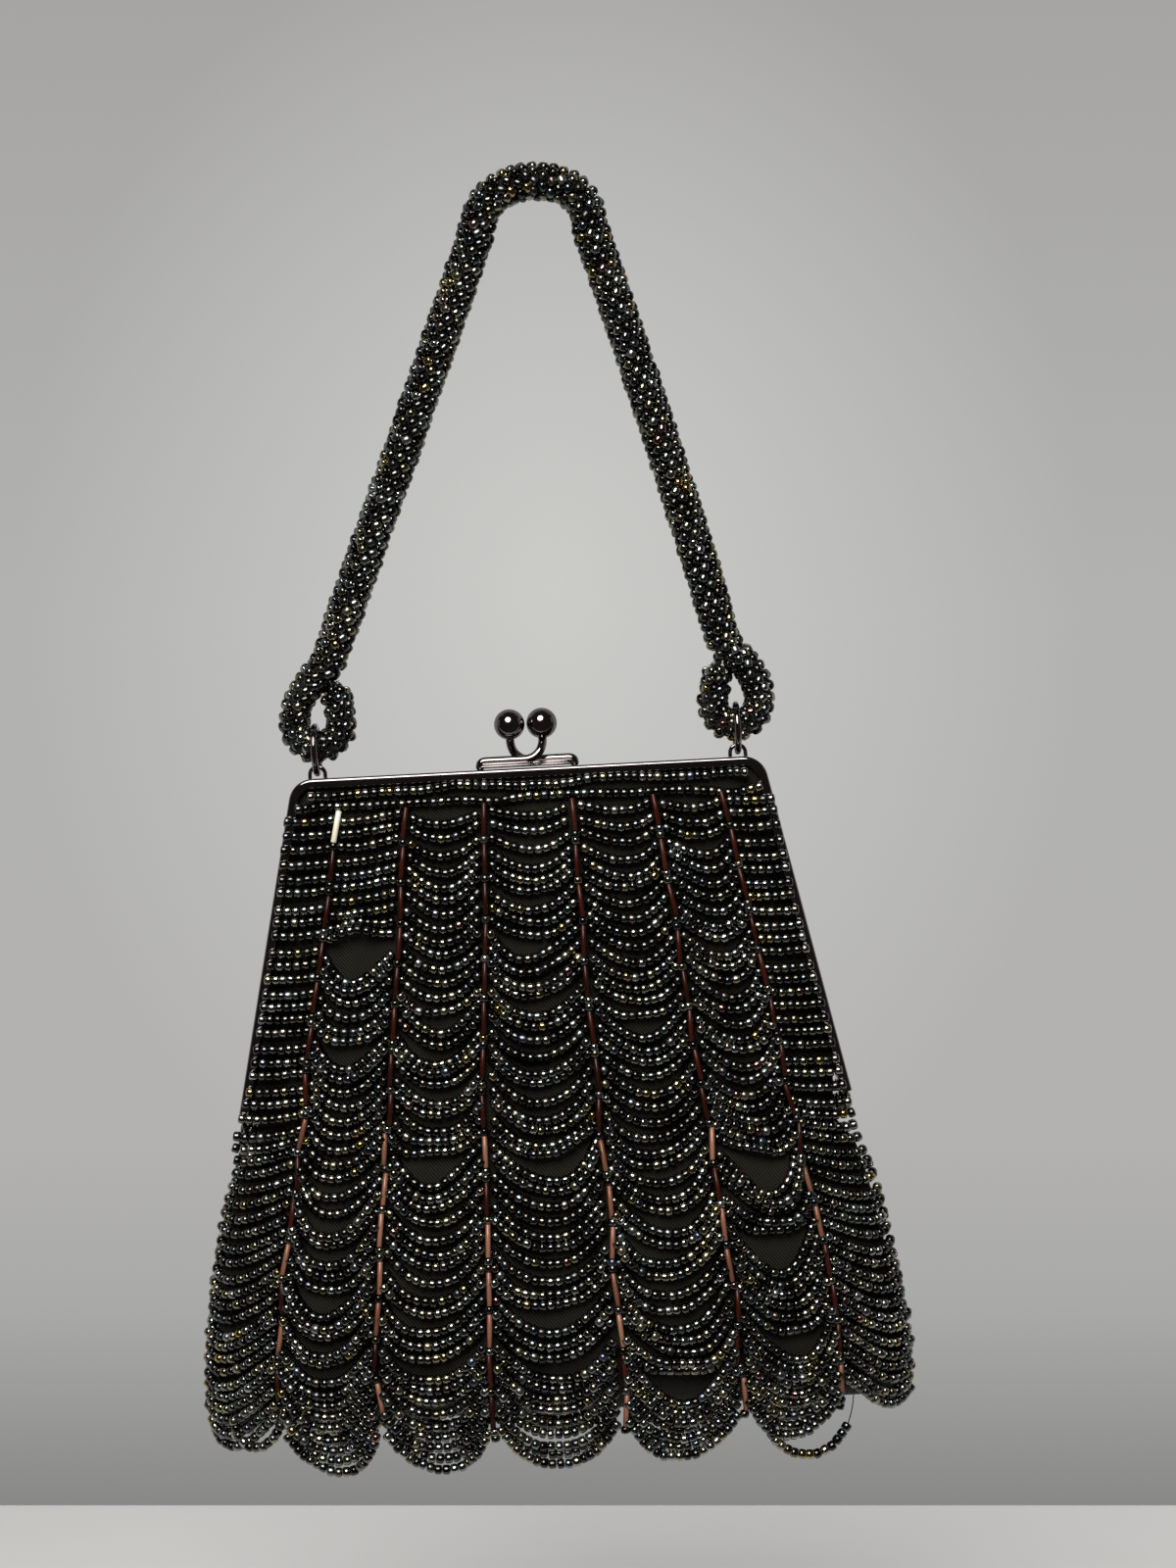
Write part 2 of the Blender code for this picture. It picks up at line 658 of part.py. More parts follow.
def body_levels():
    """The fabric's levels as (depth under the frame top, half width, half depth, edge setback, roundness)."""
    levels = [(RAIL_HEIGHT - EDGE_IN_SLOT, RAIL_HALF_DEPTH)]
    growth = HINGE_HALF_DEPTH - RAIL_HALF_DEPTH
    for level, depth in zip(UPPER_LEVEL_SHARES, UPPER_DEPTH_SHARES):
        levels.append((level * FRAME_HEIGHT, RAIL_HALF_DEPTH + depth * growth))
    levels.append((FRONT_LEVELS_END, HINGE_HALF_DEPTH - growth * FOLD_ABOVE_HINGE / FRAME_HEIGHT))
    rows = [(z, rail_half_width(z, SLOT_INSET), depth, EDGE_SETBACK, 1.0) for z, depth in levels]
    lug_top = LEG_END - LUG_ROOT - LAYER_GAP
    lug_depth = HINGE_HALF_DEPTH - growth * LUG_ROOT / FRAME_HEIGHT
    rows.append((lug_top, HINGE_HALF_WIDTH, lug_depth, EDGE_SETBACK, 1.0))
    rows.append((POUCH_TOP, HINGE_HALF_WIDTH, HINGE_HALF_DEPTH, EDGE_SETBACK / 2, 1.0))
    shares = zip(POUCH_LEVEL_SHARES, POUCH_WIDTH_SHARES, POUCH_DEPTH_SHARES, POUCH_ROUND_SHARES)
    for level, width, depth, roundness in shares:
        half_width = width * BODY_HALF_WIDTH
        half_depth = max(depth * BODY_HALF_DEPTH, LAYER_GAP / 2)
        rows.append((FRAME_HEIGHT + level * POUCH_HEIGHT, half_width, half_depth, LAYER_GAP / 2, roundness))
    return rows


def bead_levels():
    """The same levels for the bead curtain, which hangs straight below the bag's widest part."""
    rows = body_levels()
    first_pouch = len(rows) - len(POUCH_LEVEL_SHARES)
    rows = rows[: first_pouch + HANGING_FROM_LEVEL + 1]
    low = HEM_HEIGHT + SCALLOP_DROP
    last = rows[-1]
    taper = HANGING_WIDTH_SHARE * (last[1] - HEM_HALF_WIDTH)
    rows.append(((last[0] + low) / 2, last[1] - taper, last[2], last[3], last[4]))
    rows.append((low, HEM_HALF_WIDTH, HEM_HALF_DEPTH, last[3], last[4]))
    return rows


def row_at(rows, level):
    """The row at a level, between the two that lie round it."""
    for above, below in zip(rows, rows[1:]):
        if level <= below[0]:
            break
    share = (level - above[0]) / (below[0] - above[0])
    return tuple(a + (b - a) * share for a, b in zip(above, below))


def skin_point(row, turn, side):
    """A point of the body's surface: turn runs from -90 degrees at the left edge to 90 at the right."""
    level, half_width, half_depth, setback, roundness = row
    round_off = max(cos(turn), 0.0) ** (2 * roundness)
    across = half_width * sin(turn)
    return Vector((across, side * (setback + (half_depth - setback) * round_off), -level))


def skin(rows, turn, level, side, offset):
    """A surface point moved outwards by offset along the surface's own normal."""
    row = row_at(rows, level)
    inner = max(min(turn, pi / 2 - TURN_STEP), TURN_STEP - pi / 2)
    along = skin_point(row, inner + TURN_STEP, side) - skin_point(row, inner - TURN_STEP, side)
    above = row_at(rows, max(level - SLOPE_STEP, rows[0][0]))
    below = row_at(rows, min(level + SLOPE_STEP, rows[-1][0]))
    normal = along.cross(skin_point(below, inner, side) - skin_point(above, inner, side))
    if normal.y * side < 0:
        normal.negate()
    point = skin_point(row, turn, side) + normal.normalized() * offset
    point.y = side * max(side * point.y, LAYER_GAP / 2)
    return point


def sheet(
    name, rows, turns, levels, side, offset, thickness, finish_name, parent, parts, drop=None, edge=None
):
    """A sheet of fabric or beads on the body: a grid that is moved onto the surface and given a thickness."""
    grid = bmesh.new()
    bmesh.ops.create_grid(grid, x_segments=len(turns) - 1, y_segments=len(levels) - 1, size=1.0)
    for vert in grid.verts:
        column = round((vert.co.x + 1) / 2 * (len(turns) - 1))
        line = round((1 - vert.co.y) / 2 * (len(levels) - 1))
        turn = turns[column]
        level = levels[line]
        if drop is not None:
            level = drop(column / (len(turns) - 1), level)
        if edge is not None:
            turn = edge(turn, level)
        vert.co = skin(rows, turn, level, side, offset) + Vector((BAG_X, BAG_Y, FRAME_TOP))
    if side > 0:
        bmesh.ops.reverse_faces(grid, faces=grid.faces)
    mesh = bpy.data.meshes.new(name)
    grid.to_mesh(mesh)
    grid.free()
    obj = bpy.data.objects.new(name, mesh)
    wall = obj.modifiers.new("thickness", "SOLIDIFY")
    wall.thickness = thickness
    wall.offset = 1.0
    wall.use_even_offset = True
    return finish(obj, finish_name, parent, parts)


def column_turns():
    """Where the seven panels begin and end round the body, as turns."""
    return [-pi / 2, *(asin(share) for share in COLUMN_SHARES), pi / 2]


def panel_steps(number):
    """How many grid steps a panel has: more where it wraps round the bag's side."""
    return SIDE_PANEL_STEPS if number in (0, len(COLUMN_SHARES)) else PANEL_STEPS


def shell_turns(fine=True):
    bounds = column_turns()
    turns = [bounds[0]]
    for number, (start, end) in enumerate(zip(bounds, bounds[1:])):
        steps = panel_steps(number)
        turns += split(start, end, steps if fine or steps == SIDE_PANEL_STEPS else 1)[1:]
    return turns


def levels_between(rows, start, end):
    inner = [row[0] for row in rows if start + TINY < row[0] < end - TINY]
    return [start, *inner, end]


def shells(bodies, parts):
    """The faille shell and the satin lining of the front and of the rear."""
    rows = body_levels()
    top = rows[0][0]
    bottom = rows[-1][0]
    spans = (
        ("front_upper", -1, top, FRONT_LEVELS_END, "front"),
        ("front_lower", -1, POUCH_TOP, bottom, "bag"),
        ("rear", 1, top, bottom, "bag"),
    )
    lining_offset = -LAYER_GAP - LINING_THICKNESS
    lining_end = asin(LINING_WIDTH_SHARE)
    for place, side, start, end, body in spans:
        levels = levels_between(rows, start, end)
        parent = bodies[body]
        sheet(
            f"shell_{place}", rows, shell_turns(), levels, side, 0.0, SHELL_THICKNESS, "faille", parent, parts
        )
        sheet(
            f"lining_{place}",
            rows,
            shell_turns(fine=False),
            levels,
            side,
            lining_offset,
            LINING_THICKNESS,
            "satin",
            parent,
            parts,
            drop=lambda _, level: min(level, bottom + 2 * lining_offset),
            edge=lambda turn, _: drawn_in(turn, lining_end),
        )


def fold(bodies, parts):
    """The strip of beaded fabric across the front that folds when the frame opens."""
    rows = body_levels()
    levels = levels_between(rows, FRONT_LEVELS_END + LAYER_GAP, POUCH_TOP - FOLD_GAP)
    thickness = BEAD_OFFSET + BEAD_LAYER

    def edge(turn, level):
        return inside_frame(rows, turn, level)

    turns = shell_turns()
    bag = bodies["bag"]
    sheet("front_fold", rows, turns, levels, -1, 0.0, thickness, "seed_beads", bag, parts, edge=edge)


def drawn_in(turn, most):
    """Draws the side panels' turns in, so that they end at most instead of at 90 degrees."""
    bound = abs(asin(COLUMN_SHARES[0 if turn < 0 else -1]))
    if abs(turn) <= bound:
        return turn
    share = (abs(turn) - bound) / (pi / 2 - bound)
    return copysign(bound + share * (most - bound), turn)


def inside_frame(rows, turn, level):
    """The turn that keeps the bead layer's edge off the frame's legs and rivets."""
    if level > POUCH_TOP:
        return turn
    row = row_at(rows, level)
    lean = 2 * (row[2] - row[3]) / row[1] * (BEAD_OFFSET + BEAD_LAYER)
    return drawn_in(turn, asin((min(rail_half_width(level, BEAD_INSET), row[1]) - lean) / row[1]))


def column_lean(rows, turn, level):
    """How far a column goes sideways for each unit of depth, where it leans most round a level."""
    above = row_at(rows, max(level - SLOPE_STEP, rows[0][0]))
    here = row_at(rows, level)
    below = row_at(rows, min(level + SLOPE_STEP, rows[-1][0]))
    steps = ((above, here), (here, below))
    leans = [abs(low[1] - high[1]) / (low[0] - high[0]) for high, low in steps if low[0] > high[0]]
    return max(leans) * abs(sin(turn))


def bead_edge(rows, play):
    """Keeps a panel clear of the frame's legs, and of the bugle columns beside it."""
    bounds = column_turns()[1:-1]

    def edge(turn, level):
        width = row_at(rows, level)[1]
        for bound in bounds:
            if abs(turn - bound) < TINY:
                room = play * sqrt(1 + column_lean(rows, turn, level) ** 2)
                return asin((width * sin(bound) + room) / width)
        return inside_frame(rows, turn, level)

    return edge


def straight_skin(rows, edge, turn, level, side, offset):
    """A surface point on the straight line from the row above to the row below, as the columns run."""
    above = max((row[0] for row in rows if row[0] <= level), default=rows[0][0])
    below = min((row[0] for row in rows if row[0] > level), default=rows[-1][0])
    upper = skin(rows, edge(turn, above), above, side, offset)
    lower = skin(rows, edge(turn, below), below, side, offset)
    return upper.lerp(lower, (level - above) / (below - above) if below > above else 0.0)


def unmoved(turn, level):
    """The edge of a column, which stays at its own turn."""
    return turn


def string_levels(first, last, count, growth, close_share):
    """The strings' levels down a panel. Their spacing changes by growth, and the lowest hang closer."""
    steps = []
    for number in range(count - 1):
        close = close_share if number >= count - 1 - CLOSE_STRINGS else 1.0
        steps.append((1 + growth * number / (count - 2)) * close)
    levels = [first]
    for step in steps:
        levels.append(levels[-1] + (last - first) * step / sum(steps))
    return levels


def swag_lines(number):
    """A panel's lines down the bag as (level, sag, side drop, is a string), valleys between the strings."""
    side_panel = number in (0, len(COLUMN_SHARES))
    last = HEM_HEIGHT - HEM_STRING_RISE - (SIDE_STRING_RISE if side_panel else 0.0)
    count = SIDE_STRING_COUNT if side_panel else STRING_COUNT
    growth = SIDE_GROWTH_SHARE if side_panel else STRING_GROWTH_SHARE
    close_share = 1.0 if side_panel else CLOSE_STRING_SHARE
    lines = []
    for level in string_levels(FIRST_STRING, last, count, growth, close_share):
        share = (level - FIRST_STRING) / (last - FIRST_STRING)
        sag = TOP_SAG + (SCALLOP_DROP - TOP_SAG) * share**SAG_GROWTH_POWER
        drop = 0.0
        if side_panel:
            onset = min(max((level - FRONT_LEVELS_END) / SIDE_SWAG_ONSET, 0.0), 1.0)
            sag = SIDE_TOP_SAG + (SIDE_SAG - SIDE_TOP_SAG) * onset
            drop = SIDE_DROP * onset
        lines.append((level, sag, drop))
    strings = [(level, 0.0, 0.0) for level in RAIL_ROW_LEVELS] + lines
    bottom = (lines[-1][0] + HEM_STRING_RISE, *lines[-1][1:])
    marked = [(BEAD_TOP, 0.0, 0.0, False)]
    for here, after in zip(strings, [*strings[1:], None]):
        marked.append((*here, True))
        if after is not None:
            marked.append((*((a + b) / 2 for a, b in zip(here, after)), False))
    return [*marked, (*bottom, False)]


def swag_panel(name, number, side, parent, parts, keep=None):
    """A panel of bead strings as one corrugated layer, cut off square where keep gives its levels."""
    rows = bead_levels()
    left, right = column_turns()[number : number + 2]
    side_panel = number in (0, len(COLUMN_SHARES))
    steps = SIDE_PANEL_STEPS if side_panel else SWAG_STEPS
    play = BUGLE_RADIUS + BEAD_EDGE_PLAY
    near_edge, far_edge = bead_edge(rows, play), bead_edge(rows, -play)
    corner = Vector((BAG_X, BAG_Y, FRAME_TOP))
    turns = split(left, right, steps)
    lines = swag_lines(number)
    solid = bmesh.new()

    def line_verts(line, offset):
        level, sag, drop, _ = line
        verts = []
        for column, turn in enumerate(turns):
            share = column / steps
            outwards = share if number else 1 - share
            low = level + sag * 4 * share * (1 - share) + drop * outwards
            edge = near_edge if column < steps / 2 else far_edge
            verts.append(solid.verts.new(straight_skin(rows, edge, turn, low, side, offset) + corner))
        return verts

    front = [line_verts(line, BEAD_OFFSET + (BEAD_LAYER if line[3] else BEAD_VALLEY)) for line in lines]
    chosen = {0, len(lines) - 1}
    for row in rows:
        chosen.add(min(range(len(lines)), key=lambda line: abs(lines[line][0] - row[0])))
        chosen.add(min(range(len(lines)), key=lambda line: abs(lines[line][0] + lines[line][2] - row[0])))
    chosen = sorted(chosen)
    back = {line: line_verts(lines[line], BEAD_OFFSET) for line in chosen}
    for above, below in zip(front, front[1:]):
        for column in range(steps):
            solid.faces.new((above[column], below[column], below[column + 1], above[column + 1]))
    for start, end in zip(chosen, chosen[1:]):
        above, below = back[start], back[end]
        for column in range(steps):
            solid.faces.new((above[column], above[column + 1], below[column + 1], below[column]))
        for column in (0, steps):
            between = [front[line][column] for line in range(start, end + 1)]
            solid.faces.new([*between, below[column], above[column]])
    for line in (0, len(lines) - 1):
        outer, inner = front[line], back[line]
        for column in range(steps):
            solid.faces.new((outer[column], outer[column + 1], inner[column + 1], inner[column]))
    if keep is not None:
        cut_square(solid, keep)
    bmesh.ops.triangulate(solid, faces=solid.faces)
    bmesh.ops.recalc_face_normals(solid, faces=solid.faces)
    mesh = bpy.data.meshes.new(name)
    solid.to_mesh(mesh)
    solid.free()
    return finish(bpy.data.objects.new(name, mesh), "seed_beads", parent, parts)


def cut_square(solid, keep):
    """Cuts a closed shape level at both ends of keep, and closes the cuts."""
    for level, direction in ((keep[0], 1.0), (keep[1], -1.0)):
        if level is None:
            continue
        plane = {"plane_co": (0.0, 0.0, FRAME_TOP - level), "plane_no": (0.0, 0.0, direction)}
        everything = [*solid.verts, *solid.edges, *solid.faces]
        bmesh.ops.bisect_plane(solid, geom=everything, clear_outer=True, **plane)
        bmesh.ops.holes_fill(solid, edges=[edge for edge in solid.edges if edge.is_boundary])


def bead_panels(bodies, parts):
    """Seven panels of bead swags on each face. The front's are cut at the fold."""
    lean = (BEAD_OFFSET + BEAD_LAYER) * (HINGE_HALF_DEPTH - RAIL_HALF_DEPTH) / FRAME_HEIGHT
    for number in range(len(COLUMN_SHARES) + 1):
        upper = (None, FRONT_LEVELS_END - lean)
        lower = (POUCH_TOP + FOLD_GAP, None)
        swag_panel(f"swags_front_upper_{number + 1}", number, -1, bodies["front"], parts, upper)
        swag_panel(f"swags_front_lower_{number + 1}", number, -1, bodies["bag"], parts, lower)
        swag_panel(f"swags_rear_{number + 1}", number, 1, bodies["bag"], parts)


def bugle_columns(bodies, parts):
    """Six columns of bugle beads on each face, between the panels."""
    rows = bead_levels()
    first = BEAD_TOP + BUGLE_START
    spans = (
        ("front_upper", -1, first, FRONT_LEVELS_END, "front"),
        ("front_lower", -1, POUCH_TOP + FOLD_GAP, HEM_HEIGHT, "bag"),
        ("rear", 1, first, HEM_HEIGHT, "bag"),
    )
    offset = BEAD_OFFSET + BUGLE_RADIUS + TINY
    for place, side, start, end, body in spans:
        for number, turn in enumerate(column_turns()[1:-1]):
            last = end
            if end == HEM_HEIGHT and number in (0, len(COLUMN_SHARES) - 1):
                last = end - SIDE_HEM_RISE
            levels = levels_between(rows, start, last)
            corner = Vector((BAG_X, BAG_Y, FRAME_TOP))
            points = [straight_skin(rows, unmoved, turn, level, side, offset) + corner for level in levels]
            column = tube(f"bugles_{place}_{number + 1}", points, BUGLE_RADIUS, 1)
            finish(column, "bugle_beads", bodies[body], parts)


def build():
    for obj in list(bpy.data.objects):
        bpy.data.objects.remove(obj)
    parts = make_collection("beaded_handbag")
    cutters = make_collection("cutters")
    strand = FRAME_TOP + STRAND_HEIGHT
    bodies = {
        "handle": make_empty("handle_body", (0.0, 0.0, 0.0), parts),
        "rings": make_empty("rings_body", (BAG_X, 0.0, strand), parts),
        "bag": make_empty("bag_body", (BAG_X, 0.0, FRAME_TOP + RING_SEAT + RING_WIRE_RADIUS), parts),
        "front": make_empty("front_body", (BAG_X, BAG_Y, HINGE_LEVEL), parts),
    }
    frame_half("front_frame", -1, bodies["front"], parts, cutters)
    frame_half("rear_frame", 1, bodies["bag"], parts, cutters)
    hinge_rivet("hinge_rivet_left", -1, bodies["bag"], parts)
    hinge_rivet("hinge_rivet_right", 1, bodies["bag"], parts)
    clasp_half("clasp_front", -1, bodies["front"], parts, cutters)
    clasp_half("clasp_rear", 1, bodies["bag"], parts, cutters)
    clasp_ball("clasp_ball_front", -1, bodies["front"], parts)
    clasp_ball("clasp_ball_rear", 1, bodies["bag"], parts)
    handle_core("handle_core", bodies["handle"], parts)
    handle_beads("handle_beads", bodies["handle"], parts)
    for hand, hand_name in ((-1, "left"), (1, "right")):
        handle_stitch(f"handle_stitch_{hand_name}", hand, bodies["handle"], parts)
        handle_ring(f"ring_{hand_name}", hand, bodies["rings"], parts)
    shells(bodies, parts)
    fold(bodies, parts)
    bead_panels(bodies, parts)
    bugle_columns(bodies, parts)


build()
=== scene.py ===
# Beaded evening bag: snap frame, crocheted bead rope, and swags of seed beads between bugle columns.
# Sizes in the dictionaries are millimetres. The scene is in metres, +Z up, and the front faces -Y.
import math

import bmesh
import bpy
import numpy as np
from mathutils import Matrix, Vector


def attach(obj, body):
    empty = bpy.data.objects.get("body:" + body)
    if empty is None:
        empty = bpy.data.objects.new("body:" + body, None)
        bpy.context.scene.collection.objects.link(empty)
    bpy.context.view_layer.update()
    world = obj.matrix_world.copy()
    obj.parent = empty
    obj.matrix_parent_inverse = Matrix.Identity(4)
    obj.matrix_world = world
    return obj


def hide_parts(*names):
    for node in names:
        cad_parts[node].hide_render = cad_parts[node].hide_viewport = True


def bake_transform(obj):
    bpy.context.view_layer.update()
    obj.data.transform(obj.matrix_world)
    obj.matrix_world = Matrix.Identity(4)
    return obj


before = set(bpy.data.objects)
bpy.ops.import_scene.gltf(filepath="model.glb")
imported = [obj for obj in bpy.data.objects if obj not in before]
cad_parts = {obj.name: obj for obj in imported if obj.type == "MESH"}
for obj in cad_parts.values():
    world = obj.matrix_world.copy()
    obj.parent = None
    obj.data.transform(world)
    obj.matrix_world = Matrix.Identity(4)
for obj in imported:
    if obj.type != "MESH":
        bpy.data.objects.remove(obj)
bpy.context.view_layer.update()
print("frame loaded:", len(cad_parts), "nodes")

mm = 0.001
bagOrigin = np.array((-8.0, -1.2, -129.0))   # middle of the frame's top, from the point that hangs on the hook
handleLine = 1.2   # how far behind the frame's middle the rings and the rope hang
frontSide, rearSide = -1, 1
faces = ((frontSide, "front"), (rearSide, "rear"))
hands = ((-1, "left"), (1, "right"))


def toScene(points):
    return (np.asarray(points, float) + bagOrigin) * mm


# Materials

# sRGB hex to the linear colour that a socket takes
def linear(hexColour):
    parts = [int(hexColour[i:i + 2], 16) / 255 for i in (1, 3, 5)]
    return tuple(c / 12.92 if c <= 0.04045 else ((c + 0.055) / 1.055) ** 2.4 for c in parts) + (1.0,)


# Feeds a node's sockets, each from an output or from a node's first output
def feed(node, links):
    for key, source in links.items():
        output = source.outputs[0] if isinstance(source, bpy.types.Node) else source
        node.id_data.links.new(output, node.inputs[key])


# Adds a node with its settings, which are properties or sockets' values, and its links
def addNode(tree, kind, settings=None, links=None):
    node = tree.nodes.new("ShaderNode" + kind)
    for key, value in (settings or {}).items():
        if key == "stops":
            stops = node.color_ramp.elements
            while len(stops) < len(value):
                stops.new(1.0)
            for stop, (place, colour) in zip(stops, value):
                stop.position = place
                stop.color = linear(colour)
        elif isinstance(key, int) or key in node.inputs:
            node.inputs[key].default_value = value
        else:
            setattr(node, key, value)
    feed(node, links or {})
    return node


def newMaterial(name, settings):
    material = bpy.data.materials.new(name)
    material.use_nodes = True
    shader = material.node_tree.nodes["Principled BSDF"]
    for key, value in settings.items():
        shader.inputs[key].default_value = linear(value) if isinstance(value, str) else value
    return material, material.node_tree, shader


# Black nickel, bright-plated over polished brass: near-black mirror with a warm cast and the odd handling mark
def blackNickel():
    material, tree, shader = newMaterial("plated black nickel", {"Metallic": 1.0, "Roughness": 0.12})
    place = addNode(tree, "TexCoord").outputs["Object"]
    cloud = addNode(tree, "TexNoise", {"Scale": 90.0, "Detail": 3.0}, {"Vector": place})   # patches 11 mm wide
    tint = addNode(tree, "ValToRGB", {"stops": [(0.35, "#726b69"), (0.65, "#857d7b")]}, {"Fac": cloud})
    # handling marks about 0.6 mm wide
    marks = addNode(tree, "TexNoise", {"Scale": 1800.0, "Detail": 4.0, "Distortion": 0.6}, {"Vector": place})
    gloss = addNode(tree, "MapRange", {"From Min": 0.3, "From Max": 0.75, "To Min": 0.04, "To Max": 0.12},
                    {"Value": marks})
    dent = addNode(tree, "Bump", {"Strength": 0.04, "Distance": 0.00005}, {"Height": marks})
    feed(shader, {"Base Color": tint, "Roughness": gloss, "Normal": dent})
    return material


# Hematite-lustre rocaille, drawn glass tube cut and tumbled, then metal-coated: dark pewter, each bead its own cast
def lustreGlass():
    material, tree, shader = newMaterial(
        "hematite lustre rocaille", {"Metallic": 1.0, "Roughness": 0.1, "Coat Weight": 0.3, "Coat Roughness": 0.05})
    tone = addNode(tree, "Attribute", {"attribute_name": "tone"}).outputs["Fac"]
    casts = [(0.0, "#302e2b"), (0.25, "#45433d"), (0.38, "#53575a"), (0.5, "#625d4e"), (0.62, "#757b7c"),
             (0.74, "#8a8468"), (0.84, "#9a9e9c"), (0.91, "#9c8850"), (0.94, "#616c7f"), (0.965, "#805e54"),
             (1.0, "#b8b5a8")]
    cast = addNode(tree, "ValToRGB", {"stops": casts}, {"Fac": tone})
    place = addNode(tree, "TexCoord").outputs["Object"]
    skinMarks = addNode(tree, "TexNoise", {"Scale": 1400.0, "Detail": 2.0}, {"Vector": place})   # dimples of 0.7 mm
    # a fine fraction of its tone gives each bead its own gloss
    spread = addNode(tree, "Math", {"operation": "MULTIPLY", 1: 17.0}, {0: tone})
    perBead = addNode(tree, "Math", {"operation": "FRACT"}, {0: spread})
    gloss = addNode(tree, "MapRange", {"From Min": 0.4, "To Min": 0.04, "To Max": 0.30}, {"Value": perBead})
    ripple = addNode(tree, "Bump", {"Strength": 0.04, "Distance": 0.00008}, {"Height": skinMarks})
    feed(shader, {"Base Color": cast, "Roughness": gloss, "Normal": ripple})
    return material


# Smoky brown bugle, drawn glass cut to length: a painted highlight as a soft streak of brown down its middle, and
# painted shade at its edges
def bugleGlass():
    material, tree, shader = newMaterial(
        "smoky brown bugle glass", {"Metallic": 0.15, "Roughness": 0.3, "Specular IOR Level": 0.25})
    tone = addNode(tree, "Attribute", {"attribute_name": "tone"}).outputs["Fac"]
    # the browns up to 0.42 are the dark bugles' own; the lighter browns and the cream at 1.0 are painted reflections of
    # the lamp
    browns = [(0.0, "#260b04"), (0.4, "#3a1409"), (0.55, "#6b4232"), (0.9, "#9a6c56"), (1.0, "#f2ead0")]
    brown = addNode(tree, "ValToRGB", {"stops": browns}, {"Fac": tone})
    # painted shade: the colour darkens where the view grazes the tube, which leaves a painted highlight down its middle
    facing = addNode(tree, "LayerWeight", {"Blend": 0.35}).outputs["Facing"]
    paintedEdgeShade = addNode(tree, "MapRange", {"From Min": 0.08, "From Max": 0.45, "To Min": 1.0, "To Max": 0.2},
                  {"Value": facing})
    # the cream one, a painted reflection of the lamp, gets no painted edge shade
    clear = addNode(tree, "MapRange", {"From Min": 0.92, "From Max": 0.99, "To Min": 1.0, "To Max": 0.0},
                    {"Value": tone})
    shade = addNode(tree, "MixRGB", {"blend_type": "MULTIPLY"}, {"Fac": clear, "Color1": brown, "Color2": paintedEdgeShade})
    place = addNode(tree, "TexCoord").outputs["Object"]
    drawn = addNode(tree, "TexNoise", {"Scale": 700.0, "Detail": 2.0}, {"Vector": place})   # drawing marks of 1.4 mm
    gloss = addNode(tree, "MapRange", {"To Min": 0.22, "To Max": 0.36}, {"Value": drawn})
    feed(shader, {"Base Color": shade, "Roughness": gloss})
    return material


# Silk faille, woven with a raised cord: matt olive black with fine slanting ribs that catch a soft edge light
def faille():
    material, tree, shader = newMaterial(
        "olive black faille", {"Roughness": 0.8, "Specular IOR Level": 0.12, "Sheen Weight": 0.05,
                               "Sheen Roughness": 0.45})
    place = addNode(tree, "TexCoord").outputs["Object"]
    slant = addNode(tree, "Mapping", {"Rotation": (0.0, math.radians(38), 0.0)}, {"Vector": place})
    # ribs are 0.4 mm apart in such cloth, drawn 0.6 mm apart because finer ones blur away at this distance
    ribs = addNode(tree, "TexWave", {"bands_direction": "X", "Scale": 0.314 / 0.0006, "Distortion": 1.2,
                                     "Detail": 2.0, "Detail Scale": 2.0}, {"Vector": slant}).outputs["Fac"]
    fade = addNode(tree, "TexNoise", {"Scale": 60.0, "Detail": 4.0}, {"Vector": place})   # worn patches of 17 mm
    threads = addNode(tree, "ValToRGB", {"stops": [(0.1, "#0b0a07"), (0.9, "#222017")]}, {"Fac": ribs})
    worn = addNode(tree, "MixRGB", {"blend_type": "OVERLAY", "Fac": 0.35}, {"Color1": threads, "Color2": fade})
    relief = addNode(tree, "Bump", {"Strength": 0.55, "Distance": 0.0002}, {"Height": ribs})
    feed(shader, {"Base Color": worn, "Normal": relief})
    return material


# Acetate satin, long floats pressed smooth: black with soft streaks of gloss along the cloth
def satin():
    material, tree, shader = newMaterial(
        "black lining satin", {"Roughness": 0.38, "Sheen Weight": 0.2, "Sheen Roughness": 0.3})
    place = addNode(tree, "TexCoord").outputs["Object"]
    # streaks 1.1 mm wide and 11 mm long, as the floats themselves are too fine to show
    stretch = addNode(tree, "Mapping", {"Scale": (900.0, 900.0, 90.0)}, {"Vector": place})
    floats = addNode(tree, "TexNoise", {"Scale": 1.0, "Detail": 3.0}, {"Vector": stretch})
    shade = addNode(tree, "ValToRGB", {"stops": [(0.3, "#121213"), (0.7, "#222224")]}, {"Fac": floats})
    gloss = addNode(tree, "MapRange", {"To Min": 0.28, "To Max": 0.5}, {"Value": floats})
    relief = addNode(tree, "Bump", {"Strength": 0.2, "Distance": 0.0001}, {"Height": floats})
    feed(shader, {"Base Color": shade, "Roughness": gloss, "Normal": relief})
    return material


# Twisted cotton thread, dyed black: dull, with a fuzz of loose fibre that greys its edges
def cotton():
    material, tree, shader = newMaterial(
        "black cotton thread", {"Roughness": 0.88, "Specular IOR Level": 0.15, "Sheen Weight": 0.06,
                                "Sheen Roughness": 0.6})
    place = addNode(tree, "TexCoord").outputs["Object"]
    # twist and fuzz 0.4 mm wide
    fibre = addNode(tree, "TexNoise", {"Scale": 2600.0, "Detail": 5.0, "Distortion": 1.5}, {"Vector": place})
    shade = addNode(tree, "ValToRGB", {"stops": [(0.3, "#08080a"), (0.7, "#1a1a1d")]}, {"Fac": fibre})
    relief = addNode(tree, "Bump", {"Strength": 0.8, "Distance": 0.0002}, {"Height": fibre})
    feed(shader, {"Base Color": shade, "Normal": relief})
    return material


